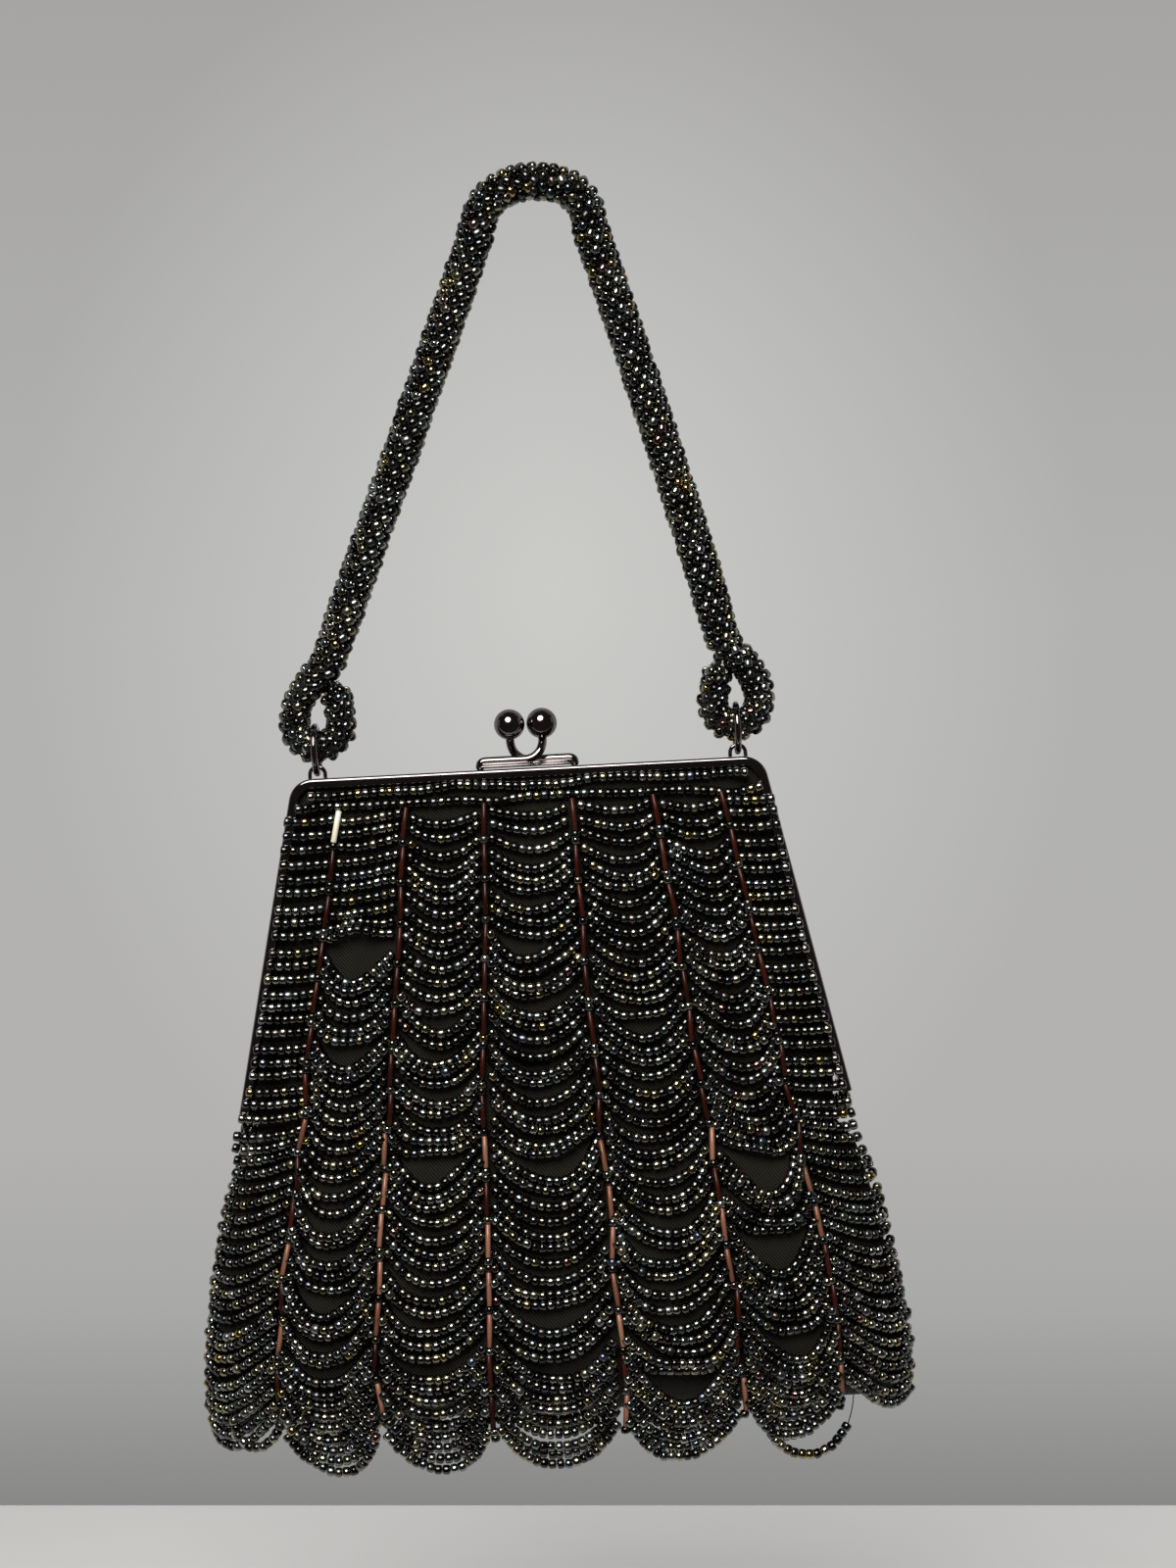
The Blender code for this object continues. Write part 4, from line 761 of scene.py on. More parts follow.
swag = {
    "strings": 46, "steps": 41, "first": 9.2, "last": 144.8, "edgeLast": 140.5, "seed": 410, "rearSeed": 500,
    "raised": {5: 3.0, 6: 1.8},   # how much higher the front hem ends in these panels
    "growth": 0.16, "edgeGrowth": -0.23,   # how the distance from string to string changes down the bag
    "closeStrings": 8, "close": 0.68,   # the lowest strings hang close together
    "sag": (3.4, 9.0), "sagPower": 0.7,
    "edgeSag": (0.3, 5.0), "edgeDrop": (0.0, 4.5), "edgeOnset": (68.0, 62.0),   # from what depth, and over how much
    "firstSag": 0.5, "sagOnset": 4.0,   # the first strings hang almost straight
    "tautPanel": 1, "tautTo": 37.0, "tautSag": 0.5, "tautUneven": 0.25, "tautRise": 1.3,   # upper strings pulled taut
    "uneven": 0.2, "edgeUneven": 0.12, "unevenMost": 0.4, "sagDrift": 0.07, "sagUneven": 0.05,
    "aside": 0.05, "asideMost": 1.6,   # how far a string's lowest point lies from its middle
    "curve": (2.0, 2.4),   # how full a string hangs, at the top and at the hem
    "evenFrom": 0.75, "evenOver": 0.15, "evenness": 0.85,   # strings hang more alike towards the hem
    "drawTogether": 0.07,   # how far string ends are drawn to the joints between bugles
    # panel, depth, place across, and how far the strings part
    "gaps": [(1, 39.4, 0.42, 3.4), (2, 88.1, 0.45, 2.6), (3, 90.9, 0.85, 2.4), (5, 93.0, 0.45, 3.4),
             (5, 111.4, 0.5, 3.4), (4, 138.6, 0.5, 3.2), (1, 61.0, 0.5, 1.5), (2, 57.0, 0.6, 1.5), (3, 39.0, 0.3, 1.5),
             (4, 60.0, 0.5, 1.8), (3, 122.0, 0.5, 1.5), (5, 132.0, 0.6, 2.4), (1, 118.0, 0.4, 1.6)],
    "gapTall": 6.0, "gapWide": 0.32, "room": 1.75,   # room is the least distance to the string above
    "panelWidth": 24, "beadRoom": 2.1, "mostLift": 1.35, "offPlace": 0.08, "clear": 1.15,
    "thread": 0.11, "railFront": 6.25, "seamTurn": 88.5, "railTo": 80.0, "seamOver": 7.0,
    "legDepths": (9.0, 32.0, 68.0, 79.0),   # and how far inside the leg's edge the strings end there
    "legInset": {-1: (-0.2, 1.15, 1.15, -0.4), 1: (-0.2, 1.15, 1.15, 0.7)},
}
columnTurns = [math.asin(share) for share in bag["columns"]]
panelCount = len(columnTurns) + 1
jointDepths = bugle["firstMiddle"] + bugle["pitch"] * np.arange(15) + bugle["toJoint"]


# Depths at which a panel's strings begin, a little uneven and closest at the hem
def stringDepths(last, growth, close, uneven, rng):
    steps = 1.0 + growth * np.linspace(0, 1, swag["strings"] - 1)
    steps[-swag["closeStrings"]:] *= close
    depths = swag["first"] + (last - swag["first"]) * np.concatenate(([0.0], np.cumsum(steps))) / steps.sum()
    return depths + rng.normal(0.0, uneven, swag["strings"]).clip(-swag["unevenMost"], swag["unevenMost"])


# Random values for a panel's strings, each much like its neighbours'
def drifting(over, calm, rng):
    return np.convolve(rng.normal(0.0, 1.0, swag["strings"] + over - 1), np.ones(over) / calm, "valid")


# Shares along the strings of a panel, and the depths of each string there, from its left end to its right end
def stringLines(number, side, rng):
    w, count = swag, swag["strings"]
    edgePanel = number in (0, panelCount - 1)
    higher = w["raised"].get(number, 0.0) if side == frontSide else 0.0
    if edgePanel:
        nominal = stringDepths(w["edgeLast"] - higher, w["edgeGrowth"], 1.0, w["edgeUneven"], rng)
    else:
        nominal = stringDepths(w["last"] - higher, w["growth"], w["close"], w["uneven"], rng)
    share = np.linspace(0.0, 1.0, count)
    s = np.linspace(0.0, 1.0, w["steps"])
    drift = drifting(9, 3, rng)
    even = 1 - w["evenness"] * eased((share - w["evenFrom"]) / w["evenOver"])
    uneven = (1 + w["sagDrift"] * drift * even) * (1 + rng.normal(0.0, w["sagUneven"], count) * even)
    nearest = jointDepths[np.abs(nominal[:, None] - jointDepths[None]).argmin(1)]
    ends = nominal + (nearest - nominal) * w["drawTogether"]
    if edgePanel:
        low = ((nominal - w["edgeOnset"][0]) / w["edgeOnset"][1]).clip(0, 1)
        drop = between(w["edgeDrop"], low) + rng.normal(0.0, w["edgeUneven"], count)
        sag = between(w["edgeSag"], low) * uneven
        away = s if number else 1 - s
        return s, ends[:, None] + drop[:, None] * away + sag[:, None] * 4 * s * (1 - s)
    sag = between(w["sag"], share ** w["sagPower"]) * uneven
    sag *= between((w["firstSag"], 1), eased(np.arange(count) / w["sagOnset"]))
    rise = np.zeros(count)
    if number == w["tautPanel"] and side == frontSide:
        taut = nominal < w["tautTo"]
        sag = np.where(taut, w["tautSag"] + rng.normal(0.0, w["tautUneven"], count), sag)
        rise = np.where(taut, w["tautRise"], 0.0)
    aside = 0.5 + w["aside"] * even * drifting(5, 2.2, rng).clip(-w["asideMost"], w["asideMost"])
    bent = s[None] ** (np.log(0.5) / np.log(aside))[:, None]
    curve = 1 - np.abs(2 * bent - 1) ** between(w["curve"], share[:, None])
    depths = ends[:, None] + rise[:, None] * (0.5 - s[None]) + sag[:, None] * curve
    for panel, depth, centre, part in w["gaps"]:
        if panel == number and side == frontSide:
            away = depths[:, len(s) // 2] - depth
            push = np.sign(away) * part * np.exp(-(away / w["gapTall"]) ** 2)
            depths = depths + push[:, None] * np.exp(-((s - centre) / w["gapWide"]) ** 2) * np.sin(math.pi * s) ** 0.5
    room = w["room"] * np.sin(math.pi * np.clip(s, 0.06, 0.94)) ** 0.3
    for i in range(1, count):
        depths[i] = np.maximum(depths[i], depths[i - 1] + room)
    return s, depths


# A string from the outermost column to the seam. Above the hinge it runs straight out over the front of the frame's leg
def edgeString(hand, side, s, depth, width, clear, offset):
    away = 1 - s if hand < 0 else s
    column = columnTurns[0] - clear if hand < 0 else columnTurns[-1] + clear
    seam = hand * math.radians(swag["seamTurn"])
    points, normals = skin(beadTable, between((column, seam), away), depth, side, offset)
    first = width * np.sin(column)
    inset = np.interp(depth, swag["legDepths"], swag["legInset"][hand])
    x = between((first, hand * (railHalfWidth(depth) - inset)), away)
    overRail, _ = skin(beadTable, turnAt(x, width), depth, side, offset)
    ahead = np.abs(overRail[:, 1])
    line = between((ahead[0 if hand > 0 else -1], swag["railFront"]), away)
    overRail[:, 0] = x
    overRail[:, 1] = side * np.maximum(ahead * (1 - 0.5 * away**4), line)
    turned = eased((depth - swag["railTo"]) / swag["seamOver"])[:, None]
    return overRail * (1 - turned) + points * turned, unit(normals * turned + (1 - turned) * (0.0, side, 0.0))


def swagPanel(number, side, rng):
    s, depths = stringLines(number, side, rng)
    width = halfWidth(depths)
    # strings that lie closer than a bead is wide ride over their neighbours
    slope = np.gradient(depths, axis=1) / (np.gradient(s)[None] * swag["panelWidth"])
    above, below = np.diff(depths, axis=0, prepend=depths[:1] - 3), np.diff(depths, axis=0, append=depths[-1:] + 3)
    close = (np.minimum(above, below) / np.sqrt(1 + slope**2)).clip(0.2, None)
    lift = np.sqrt(np.maximum(swag["beadRoom"]**2 - close**2, 0.0)).clip(0, swag["mostLift"])
    strings = []
    for i, depth in enumerate(depths):
        offset = bag["beadOffset"] + (i % 2) * lift[i] + swag["offPlace"] * rng.normal()
        clear = swag["clear"] / width[i]   # beads stop short of the bugles' middle
        if 0 < number < panelCount - 1:
            turn = between((columnTurns[number - 1] + clear, columnTurns[number] - clear), s)
            strings.append(skin(beadTable, turn, depth, side, offset))
        else:
            strings.append(edgeString(1 if number else -1, side, s, depth, width[i], clear, offset))
    return strings


def dressFace(side, word):
    threads = []
    for number in range(panelCount):
        rng = np.random.default_rng(swag["seed"] + 10 * number + (swag["rearSeed"] if side == rearSide else 0))
        strings = swagPanel(number, side, rng)
        beads = gathered(threadBeads(points, normals, rng) for points, normals in strings)
        long = rng.normal(1.0, bead["longSpread"], len(beads[0])).clip(0.85, 1.2)
        wide = rng.normal(1.0, bead["wideSpread"], len(beads[0])).clip(0.9, 1.1)
        addBeads(f"{word}_swags_{number + 1}", beads, side, rng, long, wide, nodesOf("swags", word, number + 1))
        threads += [wire(points[::4], swag["thread"], 4, domed=False) for points, _ in strings]
    name = f"{word}_swag_threads"
    follow(addPiece(name, joined(name, threads), "cotton"), side)
    print(word, "swags done")


for side, word in faces:
    dressFace(side, word)


# Two rows of beads sewn along the frame's top
def topRows(side, word):
    rng = np.random.default_rng(rail["rowSeed"] + side)
    knots = np.linspace(-rail["waveReach"], rail["waveReach"], rail["waves"])
    rows = []
    for level, wave, reach in rail["rows"]:
        x = np.linspace(-reach, reach, rail["rowSteps"])
        depth = level + np.interp(x, knots, rng.normal(0.0, wave, rail["waves"]))
        points, normals = skin(beadTable, turnAt(x, halfWidth(depth)), depth, side, bag["railBeadOffset"])
        # the ends run out level over the corners of the frame
        outer = eased((np.abs(x) - rail["rowTurn"]) / (reach - rail["rowTurn"]))
        points[:, 0] = x
        points[:, 1] = side * swag["railFront"] * outer + points[:, 1] * (1 - outer)
        outer = outer[:, None]
        rows.append(threadBeads(points, unit(normals * (1 - outer) + outer * (0.0, side, 0.0)), rng))
    addBeads(f"{word}_rail_rows", gathered(rows), side, rng)


for side, word in faces:
    topRows(side, word)
print("rail rows: 2 faces")


# Loose loops at the hem, left hanging where a string has lost beads or slipped. Points across and down
loops = {
    "left_loose_loop": [(-73.6, 141.6), (-72.6, 145.4), (-70.3, 147.9), (-67.3, 147.6), (-64.9, 145.8), (-63.4, 143.6),
                        (-62.4, 141.4), (-61.8, 139.2)],
    "right_loose_loop": [(45.4, 146.0), (48.0, 151.2), (51.5, 154.2), (56.4, 155.4), (60.9, 153.7), (63.8, 150.4),
                         (64.6, 149.2)],
}
bareThread = {"points": [(64.6, 149.2), (65.6, 146.0), (66.2, 142.5)], "radius": 0.13}


# A curve laid on the front, with its outward sides
def onFront(points, steps):
    across, depth = smoothPath(points, steps).T
    turn = turnAt(across, halfWidth(depth) + 0.6 * bag["looseOffset"])
    return skin(beadTable, turn, depth, frontSide, bag["looseOffset"])


for name, points in loops.items():
    rng = np.random.default_rng(len(name))
    addBeads(name, threadBeads(*onFront(points, 8), rng), frontSide, rng)
bare = wire(onFront(bareThread["points"], 6)[0], bareThread["radius"], 6)
follow(addPiece("bare_thread", joined("bare_thread", [bare]), "cotton"), frontSide)
print("loose loops: 2")


# A column of bugles, and the one or two seed beads between each two of them
def bugleColumn(index, side, word):
    rng = np.random.default_rng(bugle["seed"] + index + (bugle["rearSeed"] if side == rearSide else 0))
    depth = np.linspace(bugle["top"], bugle["ends"][index], 400)
    wander = np.interp(depth, np.linspace(5, 150, 16), rng.normal(0.0, bugle["wander"], 16))
    path, normals = skin(beadTable, columnTurns[index] + wander, depth, side, bag["bugleOffset"])
    length = pathLength(path)
    bugles, small = [], []
    at = bugle["first"]
    while at + bugle["long"] < length - bugle["spare"]:
        long = bugle["long"] * rng.uniform(*bugle["longs"])
        bugles.append((at + long / 2, long / bugle["long"]))
        at += long + bugle["gap"]
        for _ in range(rng.choice((1, 1, 2))):
            small.append(at + bugle["beadRoom"] / 2)
            at += bugle["beadRoom"]
        at += bugle["afterBeads"]
    middle, sizes = np.array(bugles).T
    count = len(bugles)
    places, ahead, outward = standing(path, normals, middle, bugle["reach"])
    axes = ahead + rng.normal(0.0, bugle["offTrue"], (count, 3))
    # the upper ones are dark, and more than half of the lower ones get a lighter brown: a painted reflection of the
    # lamp that the lower bugles catch
    paintedReflection = rng.random(count) < np.where(middle > bugle["paintedReflectionFrom"] * length, bugle["paintedReflectionShare"], 0.0)
    tones = np.where(paintedReflection, rng.uniform(*bugle["paintedReflection"], count), rng.uniform(*bugle["dark"], count))
    if side == frontSide and index == 0:
        tones[0] = 1.0   # the first one cream: a painted reflection of the lamp
    name = f"{word}_bugles_{index + 1}"
    mesh = strung(name, bugleTube, places, axes, outward, sizes, 1.0, tones)
    follow(addPiece(name, mesh, "bugle", nodesOf("bugles", word, index + 1)), side)
    places, ahead, outward = standing(path, normals, np.array(small), bead["reach"])
    return places, ahead + rng.normal(0.0, bugle["beadSkew"], (len(small), 3)), outward


for side, word in faces:
    beads = gathered(bugleColumn(index, side, word) for index in range(len(columnTurns)))
    rng = np.random.default_rng(5 + side)
    addBeads(f"{word}_column_beads", beads, side, rng, bugle["beadLong"], bugle["beadWide"])
print("bugle columns: 12")


# Cloth, as thin sheets with soft upright gathers

cloth = {"across": 96, "down": 150, "top": 1.3, "bottom": 145.0, "fullFrom": 12, "fullOver": 60, "flatOver": 12}
shell = {"finish": "faille", "thick": 0.5, "offset": 0.55, "inset": 0.0, "bottom": 145.0, "middleGap": 0.15}
lining = {"finish": "satin", "thick": 0.3, "offset": -0.5, "inset": 2.0, "bottom": 143.0, "middleGap": 0.1}
piping = {"radius": 0.45, "out": 0.3, "top": 89.0, "cornerDown": 1.0, "cornerAcross": 1.5}


def bodySheet(name, side, kind, replaced):
    turns = np.radians(np.linspace(-90 + kind["inset"], 90 - kind["inset"], cloth["across"] + 1))
    depths = np.linspace(cloth["top"], kind["bottom"], cloth["down"] + 1)
    turn, depth = np.meshgrid(turns, depths)
    # fuller below the frame and gone at the seams
    fullness = np.clip((depth - cloth["fullFrom"]) / cloth["fullOver"], 0, 1)
    fullness = fullness * np.clip((kind["bottom"] - depth) / cloth["flatOver"], 0, 1) * np.cos(turn)
    gathers = (0.28 * np.sin(turn * 23 + 0.4 * np.sin(depth / 17)) + 0.16 * np.sin(turn * 41 + 1.3)) * fullness
    points, _ = skin(clothTable, turn, depth, side, kind["offset"] + gathers)
    points[..., 1] = side * np.maximum(side * points[..., 1], kind["middleGap"])
    quads = gridQuads(len(depths), len(turns))
    mesh = quadMesh(name, toScene(points.reshape(-1, 3)), quads if side == rearSide else quads[:, ::-1])
    piece = addPiece(name, mesh, kind["finish"], replaced)
    wall = piece.modifiers.new("cloth thickness", "SOLIDIFY")
    wall.thickness = kind["thick"] * mm
    wall.offset = 0.0
    graph = bpy.context.evaluated_depsgraph_get()
    solid = bpy.data.meshes.new_from_object(piece.evaluated_get(graph))
    piece.modifiers.clear()
    piece.data = solid
    solid.shade_smooth()
    follow(piece, side)
    return piece


bodySheet("front_faille", frontSide, shell, ["shell_front_upper", "shell_front_lower", "front_fold"])
bodySheet("rear_faille", rearSide, shell, ["shell_rear"])
bodySheet("front_lining", frontSide, lining, ["lining_front_upper", "lining_front_lower"])
bodySheet("rear_lining", rearSide, lining, ["lining_rear"])


# Piping sewn round the open edge of the body, below the hinges
def seamPiping(name):
    depth = np.linspace(piping["top"], cloth["bottom"] - piping["cornerDown"], 60)
    edge = np.interp(depth, clothTable[0], clothTable[1][0]) + piping["out"]
    across = np.linspace(edge[-1] - piping["cornerAcross"], piping["cornerAcross"] - edge[-1], 80)
    down = -cloth["bottom"] - piping["out"]
    path = [(x, 0.0, -d) for x, d in zip(edge, depth)] + [(x, 0.0, down) for x in across]
    path += [(-x, 0.0, -d) for x, d in zip(edge[::-1], depth[::-1])]
    return addPiece(name, capped(name, wire(path, piping["radius"], 10)), "faille", body="bag")


seamPiping("seam_piping")
print("cloth: faille and lining, front and rear")


# Handle

rope = {
    "radius": 4.4, "loopRadius": 3.7, "bead": 2.2, "perTurn": 8.5, "rowPitch": 2.05, "core": 2.75, "margin": 0.9,
    "top": 129.0, "apexShift": 8.0, "bendRadius": 4.1, "bendHalf": 10.3, "bendDrop": 3.8, "steps": 12, "thicken": 3,
    "legBow": {-1: -0.2, 1: 0.7}, "lean": {-1: 1.3, 1: 0.0}, "leg": (0.12, 0.32, 0.52, 0.72, 0.90),
    "loopReach": 5.5, "loopShift": {-1: 0.5, 1: 0.0}, "strand": 7.2,
    "loop": [(0.74, 2.30), (0.76, 1.70), (0.93, 1.08), (0.85, 0.48), (0.48, 0.11), (0.0, 0.0), (-0.48, 0.11),
             (-0.87, 0.50), (-1.00, 1.09), (-0.91, 1.74), (-0.61, 2.33), (-0.17, 2.89), (0.31, 3.44)],
    "offPlace": (0.10, 0.12, 0.10), "offTrue": 0.12, "offSize": (0.05, 0.03), "longer": 1.14,
    "lie": (0.75, 0.65, 0.15),   # how a bead's hole points along the rope, round it and out of it
    "closing": ((6, 2.1, -0.1), (1, 0.0, 0.9)),   # a ring of beads and a last one cover each end
    "seed": 31,
}


# The rope's middle line: from the left tail round its ring, over the hook, and round the right ring to its tail
def ropePath():
    r = rope
    tall = r["loop"][-1][1]
    halves = []
    for hand, _ in hands:
        centre = hand * rail["ringAt"] + r["loopShift"][hand]
        points = [(centre - hand * a * r["loopReach"] + r["lean"][hand] * b / tall, r["strand"] + b * r["loopReach"])
                  for a, b in r["loop"]]
        start = np.array(points[-1])
        shoulder = np.array((r["apexShift"] + hand * r["bendHalf"], r["top"] + r["bendRadius"] - r["bendDrop"]))
        for share in r["leg"]:
            bow = hand * r["legBow"][hand] * math.sin(math.pi * share)
            points.append(tuple(start + (shoulder - start) * share + (bow, 0.0)))
        halves.append(points + [tuple(shoulder)])
    flat = halves[0] + [(r["apexShift"], r["top"] + r["bendRadius"])] + halves[1][::-1]
    path = smoothPath([(x, handleLine, z) for x, z in flat], r["steps"])
    # thinner in the loops, and thickening over the first knots of the legs
    knot = np.minimum(np.arange(len(path)), np.arange(len(path))[::-1]) / r["steps"]
    share = np.clip((knot - len(r["loop"]) + r["thicken"]) / r["thicken"], 0, 1)
    return path, between((r["loopRadius"], r["radius"]), share)


ropeLine, ropeRadius = ropePath()


def ropeBeads(name):
    rng = np.random.default_rng(rope["seed"])
    frames = sideFrames(ropeLine)
    at = np.arange(rope["margin"], pathLength(ropeLine) - rope["margin"], rope["rowPitch"] / rope["perTurn"])
    table = np.concatenate((ropeLine, *frames, ropeRadius[:, None]), 1)
    values = evenly(table, at, lengthsAlong(ropeLine))
    middle, ahead, side, other = (values[:, i:i + 3] for i in (0, 3, 6, 9))
    turn = np.arange(len(at)) * 2 * math.pi / rope["perTurn"]
    outward = unit(side) * np.cos(turn)[:, None] + unit(other) * np.sin(turn)[:, None]
    radius = values[:, 12] - rope["bead"] / 2
    around = np.cross(unit(ahead), outward)
    outOff, aheadOff, aroundOff = rope["offPlace"]
    places = middle + outward * (radius + rng.normal(0.0, outOff, len(at)))[:, None]
    places += ahead * rng.normal(0.0, aheadOff, (len(at), 1))
    places += around * rng.normal(0.0, aroundOff, (len(at), 1))
    alongPart, roundPart, outPart = rope["lie"]
    axes = unit(ahead) * alongPart + around * roundPart + outward * outPart
    axes = axes + rng.normal(0.0, rope["offTrue"], (len(at), 3))
    for end, back in ((0, 8), (-1, -9)):
        tip, out = ropeLine[end], unit(ropeLine[end] - ropeLine[back])
        across = unit(np.cross(out, (0.0, 1.0, 0.0)))
        for count, spread, rise in rope["closing"]:
            turns = np.arange(count) * 2 * math.pi / count
            spoke = np.cos(turns)[:, None] * across + np.sin(turns)[:, None] * (0.0, 1.0, 0.0)
            places = np.concatenate((places, tip + out * rise + spoke * spread))
            outward = np.concatenate((outward, spoke * 0.6 + out))
            axes = np.concatenate((axes, np.cross(spoke, out) + (0.05, 0.3, 0.05)))
    total = len(places)
    longOff, wideOff = rope["offSize"]
    mesh = strung(name, ropeRocaille, places, axes, outward, rng.normal(rope["longer"], longOff, total),
                  rope["bead"] / bead["wide"] * rng.normal(1.0, wideOff, total), tonesFor(total, rng))
    return addPiece(name, mesh, "rocaille", ["handle_beads"], "handle")


def ropeCore(name):
    line = ropeLine[16:-16:2]   # ends well inside the beads
    return addPiece(name, capped(name, wire(line, rope["core"], 16)), "cotton", ["handle_core"], "handle")


stitch = {
    "seed": 60, "beyond": 0.5,
    "coils": 7, "coilThread": 0.16, "coilSteps": 22, "turns": 1.2, "wide": (1.2, 2.3), "tall": (0.5, 1.3),
    "taller": 0.8, "across": (0.6, 1.0), "slant": (-0.5, 0.5), "coilShift": (-0.6, 1.2), "coilLoose": 0.25,
    "fibres": 9, "fibreThread": 0.07, "fibreSteps": 7, "fibreShift": (-1.5, 1.5), "fibreAhead": (-1.5, 1.0),
    "fibreSpread": 0.55, "fibreLong": (1.2, 2.6), "fibreLoose": 0.14,
}


# Sewn-back tail: loose coils of thread that bind the rope's end to its leg, with a few cut fibres
def tailThread(name, hand, node):
    t = stitch
    rng = np.random.default_rng(t["seed"] + hand)
    line = ropeLine if hand < 0 else ropeLine[::-1]
    tail, ahead = line[0], unit(line[0] - line[6])
    later = line[len(line) // 4:len(line) // 2]
    leg = later[np.linalg.norm(later - tail, axis=1).argmin()]
    toLeg = unit(leg - tail)
    middle = tail + ahead * t["beyond"]
    sets = []
    for _ in range(t["coils"]):
        turns = np.linspace(0, 2 * math.pi * t["turns"], t["coilSteps"]) + rng.uniform(0, 6)
        wide, tall = rng.uniform(*t["wide"]), rng.uniform(*t["tall"])
        across = np.array((0.0, 1.0, 0.0)) * rng.uniform(*t["across"]) + ahead * rng.uniform(*t["slant"])
        path = middle + toLeg * rng.uniform(*t["coilShift"]) + np.cos(turns)[:, None] * toLeg * wide
        path = path + np.sin(turns)[:, None] * unit(across) * (tall + t["taller"])
        path = path + ahead * rng.normal(0.0, t["coilLoose"], (len(turns), 1))
        sets.append(wire(path, t["coilThread"], 6))
    for _ in range(t["fibres"]):
        start = middle + toLeg * rng.uniform(*t["fibreShift"]) + np.array((0.0, rng.uniform(*t["fibreAhead"]), 0.0))
        bend = unit(ahead + rng.normal(0.0, t["fibreSpread"], 3))
        steps = np.linspace(0, rng.uniform(*t["fibreLong"]), t["fibreSteps"])[:, None]
        path = start + bend * steps + rng.normal(0.0, t["fibreLoose"], (len(steps), 3)) * steps
        sets.append(wire(path, t["fibreThread"], 5))
    return addPiece(name, joined(name, sets), "cotton", [node], "handle")


ropeBeads("rope_beads")
ropeCore("rope_crochet_cord")
for hand, word in hands:
    tailThread(f"{word}_tail_thread", hand, f"handle_stitch_{word}")
print("handle: bead rope, cord, two sewn tails; rope length", round(pathLength(ropeLine), 1), "mm")


# Stage, light and camera, in metres

stage = {
    "roll": 3.0, "reach": 1.6, "floorLevel": -0.402, "underFloor": 0.02, "mirroredFrom": -0.12,
    "wallAt": 0.36, "wallHigh": 1.3, "world": ("#e6e5e2", 0.045),
    "floor": ("#d8d7d4", "#d2d1ce"), "surround": "#b8b8b5",
    # level up the wall, from just under the floor to the top of the picture
    "wallSpan": (-0.43, 0.17),
    # the wall's colour by level: painted shade, darker towards the floor and a little towards the top
    "wall": [(0.02, "#808080"), (0.08, "#919190"), (0.17, "#a9a9a8"), (0.28, "#b3b2b1"), (0.6, "#b2b2b0"),
             (1.0, "#a5a4a3")],
    # a painted pool of light round the wall's middle, behind the bag
    "paintedPoolColour": "#cbcbc8", "paintedPoolCentre": -0.06, "paintedPoolWide": 0.20, "paintedPoolTall": 0.26,
}


# Plain painted board: matt, with the faint mottling of a roller
def boardPaint(name, colour, darker):
    material, tree, shader = newMaterial(name, {"Roughness": 0.75})
    place = addNode(tree, "TexCoord").outputs["Object"]
    mottle = addNode(tree, "TexNoise", {"Scale": 2.2, "Detail": 5.0, "Roughness": 0.6}, {"Vector": place})
    feed(shader, {"Base Color": addNode(tree, "ValToRGB", {"stops": [(0.3, darker), (0.7, colour)]}, {"Fac": mottle})})
    return material


# Glowing paper: given one colour it glows evenly at it; given the wall's stops it glows with painted light, painted
# shade towards the floor and the top and a painted pool of light at its middle. From behind it isn't there
def litPaper(name, colour):
    material, tree, shader = newMaterial(
        name, {"Base Color": "#000000", "Specular IOR Level": 0.0, "Emission Strength": 1.0})
    if isinstance(colour, str):
        shader.inputs["Emission Color"].default_value = linear(colour)
    else:
        place = addNode(tree, "TexCoord").outputs["Object"]
        height = addNode(tree, "SeparateXYZ", links={"Vector": place}).outputs["Y"]
        low, high = stage["wallSpan"]
        share = addNode(tree, "MapRange", {"From Min": low, "From Max": high}, {"Value": height})
        # painted shade by height: darker towards the floor and the top
        level = addNode(tree, "ValToRGB", {"stops": colour}, {"Fac": share})
        # a painted pool of light, brightest at its centre
        near = addNode(tree, "Mapping", {
            "vector_type": "TEXTURE", "Location": (0.0, stage["paintedPoolCentre"], 0.0),
            "Scale": (stage["paintedPoolWide"], stage["paintedPoolTall"], 1.0)}, {"Vector": place})
        paintedPool = addNode(tree, "TexGradient", {"gradient_type": "SPHERICAL"}, {"Vector": near}).outputs["Fac"]
        paper = addNode(tree, "MixRGB", {"Color2": linear(stage["paintedPoolColour"])}, {"Fac": paintedPool, "Color1": level})
        feed(shader, {"Emission Color": paper})
    behind = addNode(tree, "NewGeometry").outputs["Backfacing"]
    both = addNode(tree, "MixShader", links={"Fac": behind, 1: shader, 2: addNode(tree, "BsdfTransparent")})
    feed(tree.nodes["Material Output"], {"Surface": both})
    return material


# A board that spans two corners in its own plane, with the kinds of ray that don't see it
def addBoard(name, low, high, place, paint, unseenBy=()):
    mesh = bpy.data.meshes.new(name)
    corners = [(low[0], low[1], 0), (high[0], low[1], 0), (high[0], high[1], 0), (low[0], high[1], 0)]
    mesh.from_pydata(corners, [], [(0, 1, 2, 3)])
    mesh.materials.append(paint)
    board = addObject(name, mesh)
    board.matrix_world = Matrix.Rotation(math.radians(stage["roll"]), 4, "Y") @ place
    for ray in unseenBy:
        setattr(board, "visible_" + ray, False)


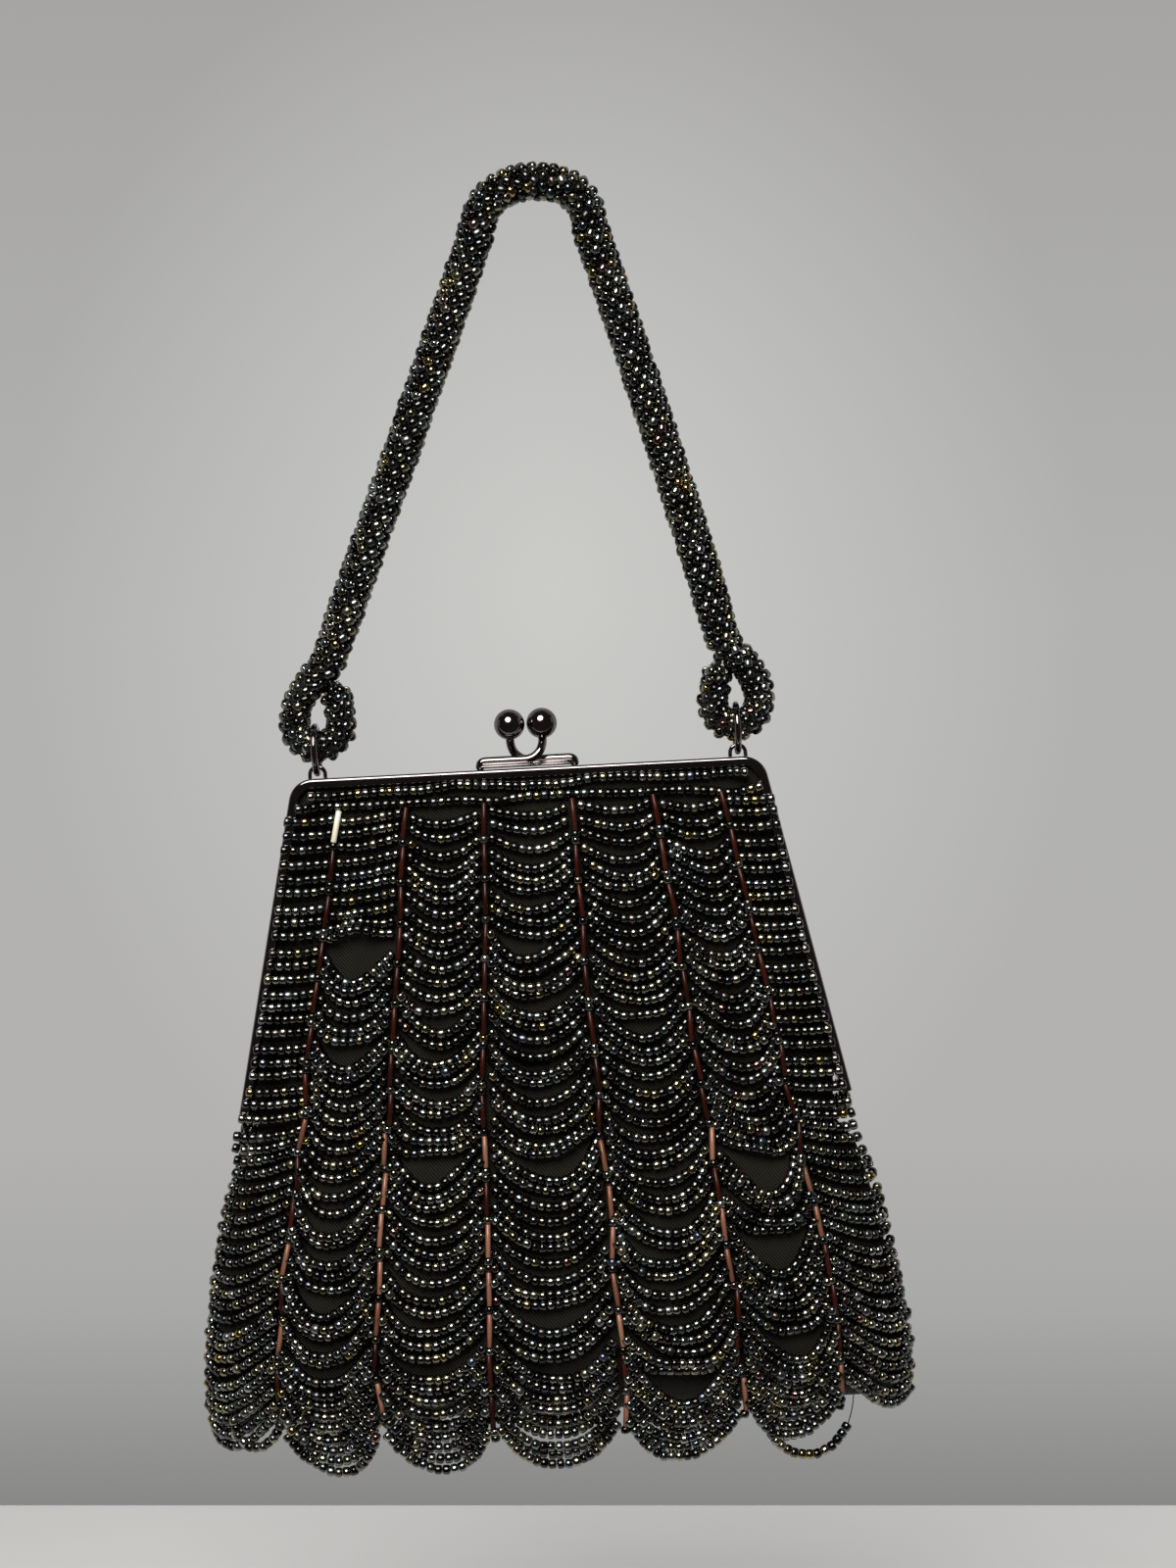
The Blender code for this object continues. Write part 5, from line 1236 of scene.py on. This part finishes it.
def addStage():
    reach, high, low = stage["reach"], stage["wallHigh"], stage["floorLevel"]
    floorPaint = boardPaint("floor paint", *stage["floor"])
    level = Matrix.Translation((0.0, 0.0, low))
    # the front of the floor is left out of reflections, as the dark of the room shows there
    addBoard("floor", (-reach, stage["mirroredFrom"]), (reach, reach), level, floorPaint)
    addBoard("front_floor", (-reach, -reach), (reach, stage["mirroredFrom"]), level, floorPaint, ["glossy"])
    upright = Matrix.Rotation(math.pi / 2, 4, "X")
    corners = (-reach, low - stage["underFloor"]), (reach, high)
    place = Matrix.Translation((0.0, stage["wallAt"], 0.0)) @ upright
    addBoard("wall", *corners, place, litPaper("wall paper", stage["wall"]), ["diffuse", "shadow"])
    paper = litPaper("surround paper", stage["surround"])
    for name, turn in (("left_surround", 90), ("right_surround", -90), ("front_surround", 180)):
        place = Matrix.Rotation(math.radians(turn), 4, "Z") @ Matrix.Translation((0.0, reach, 0.0)) @ upright
        addBoard(name, *corners, place, paper, ["diffuse", "glossy", "transmission", "shadow"])


addStage()

lights = [   # name, shape, size, power in watts and place
    ("key", "DISK", 0.86, 22.0, (-0.16, -1.00, 0.62)),
    ("rear_key", "DISK", 0.80, 9.0, (0.25, 1.15, 0.60)),
    ("left_fill", "RECTANGLE", 0.7, 0.6, (-1.20, 0.15, 0.10)),
    ("right_fill", "RECTANGLE", 0.7, 0.6, (1.20, 0.15, 0.20)),
]
target = Vector((0.0, 0.0, -0.17))   # all face the middle of the bag
for name, shape, size, power, place in lights:
    light = bpy.data.lights.new(name, "AREA")
    light.shape = shape
    light.size = size
    if shape == "RECTANGLE":
        light.size_y = size
    light.energy = power
    lamp = addObject(name, light)
    lamp.location = place
    lamp.rotation_euler = (target - Vector(place)).to_track_quat("-Z", "Y").to_euler()

world = bpy.data.worlds.new("studio")
world.use_nodes = True
background = world.node_tree.nodes["Background"].inputs
background["Color"].default_value = linear(stage["world"][0])
background["Strength"].default_value = stage["world"][1]
bpy.context.scene.world = world
bpy.context.scene.view_settings.view_transform = "Standard"

view = {"place": (13.45, -560.0, -4.38), "lens": 56.7, "sensor": 36.0}   # millimetres, with the roll of the stage
camera = bpy.data.cameras.new("camera")
camera.sensor_fit = "AUTO"
camera.sensor_width = view["sensor"]
camera.lens = view["lens"]
roll = math.radians(stage["roll"])
x, y, z = toScene(view["place"])
cameraPiece = addObject("camera", camera)
cameraPiece.matrix_world = Matrix((
    (math.cos(roll), math.sin(roll), 0.0, x), (0.0, 0.0, -1.0, y),
    (-math.sin(roll), math.cos(roll), 0.0, z), (0, 0, 0, 1)))
bpy.context.scene.camera = cameraPiece
print("stage, lights and camera set")
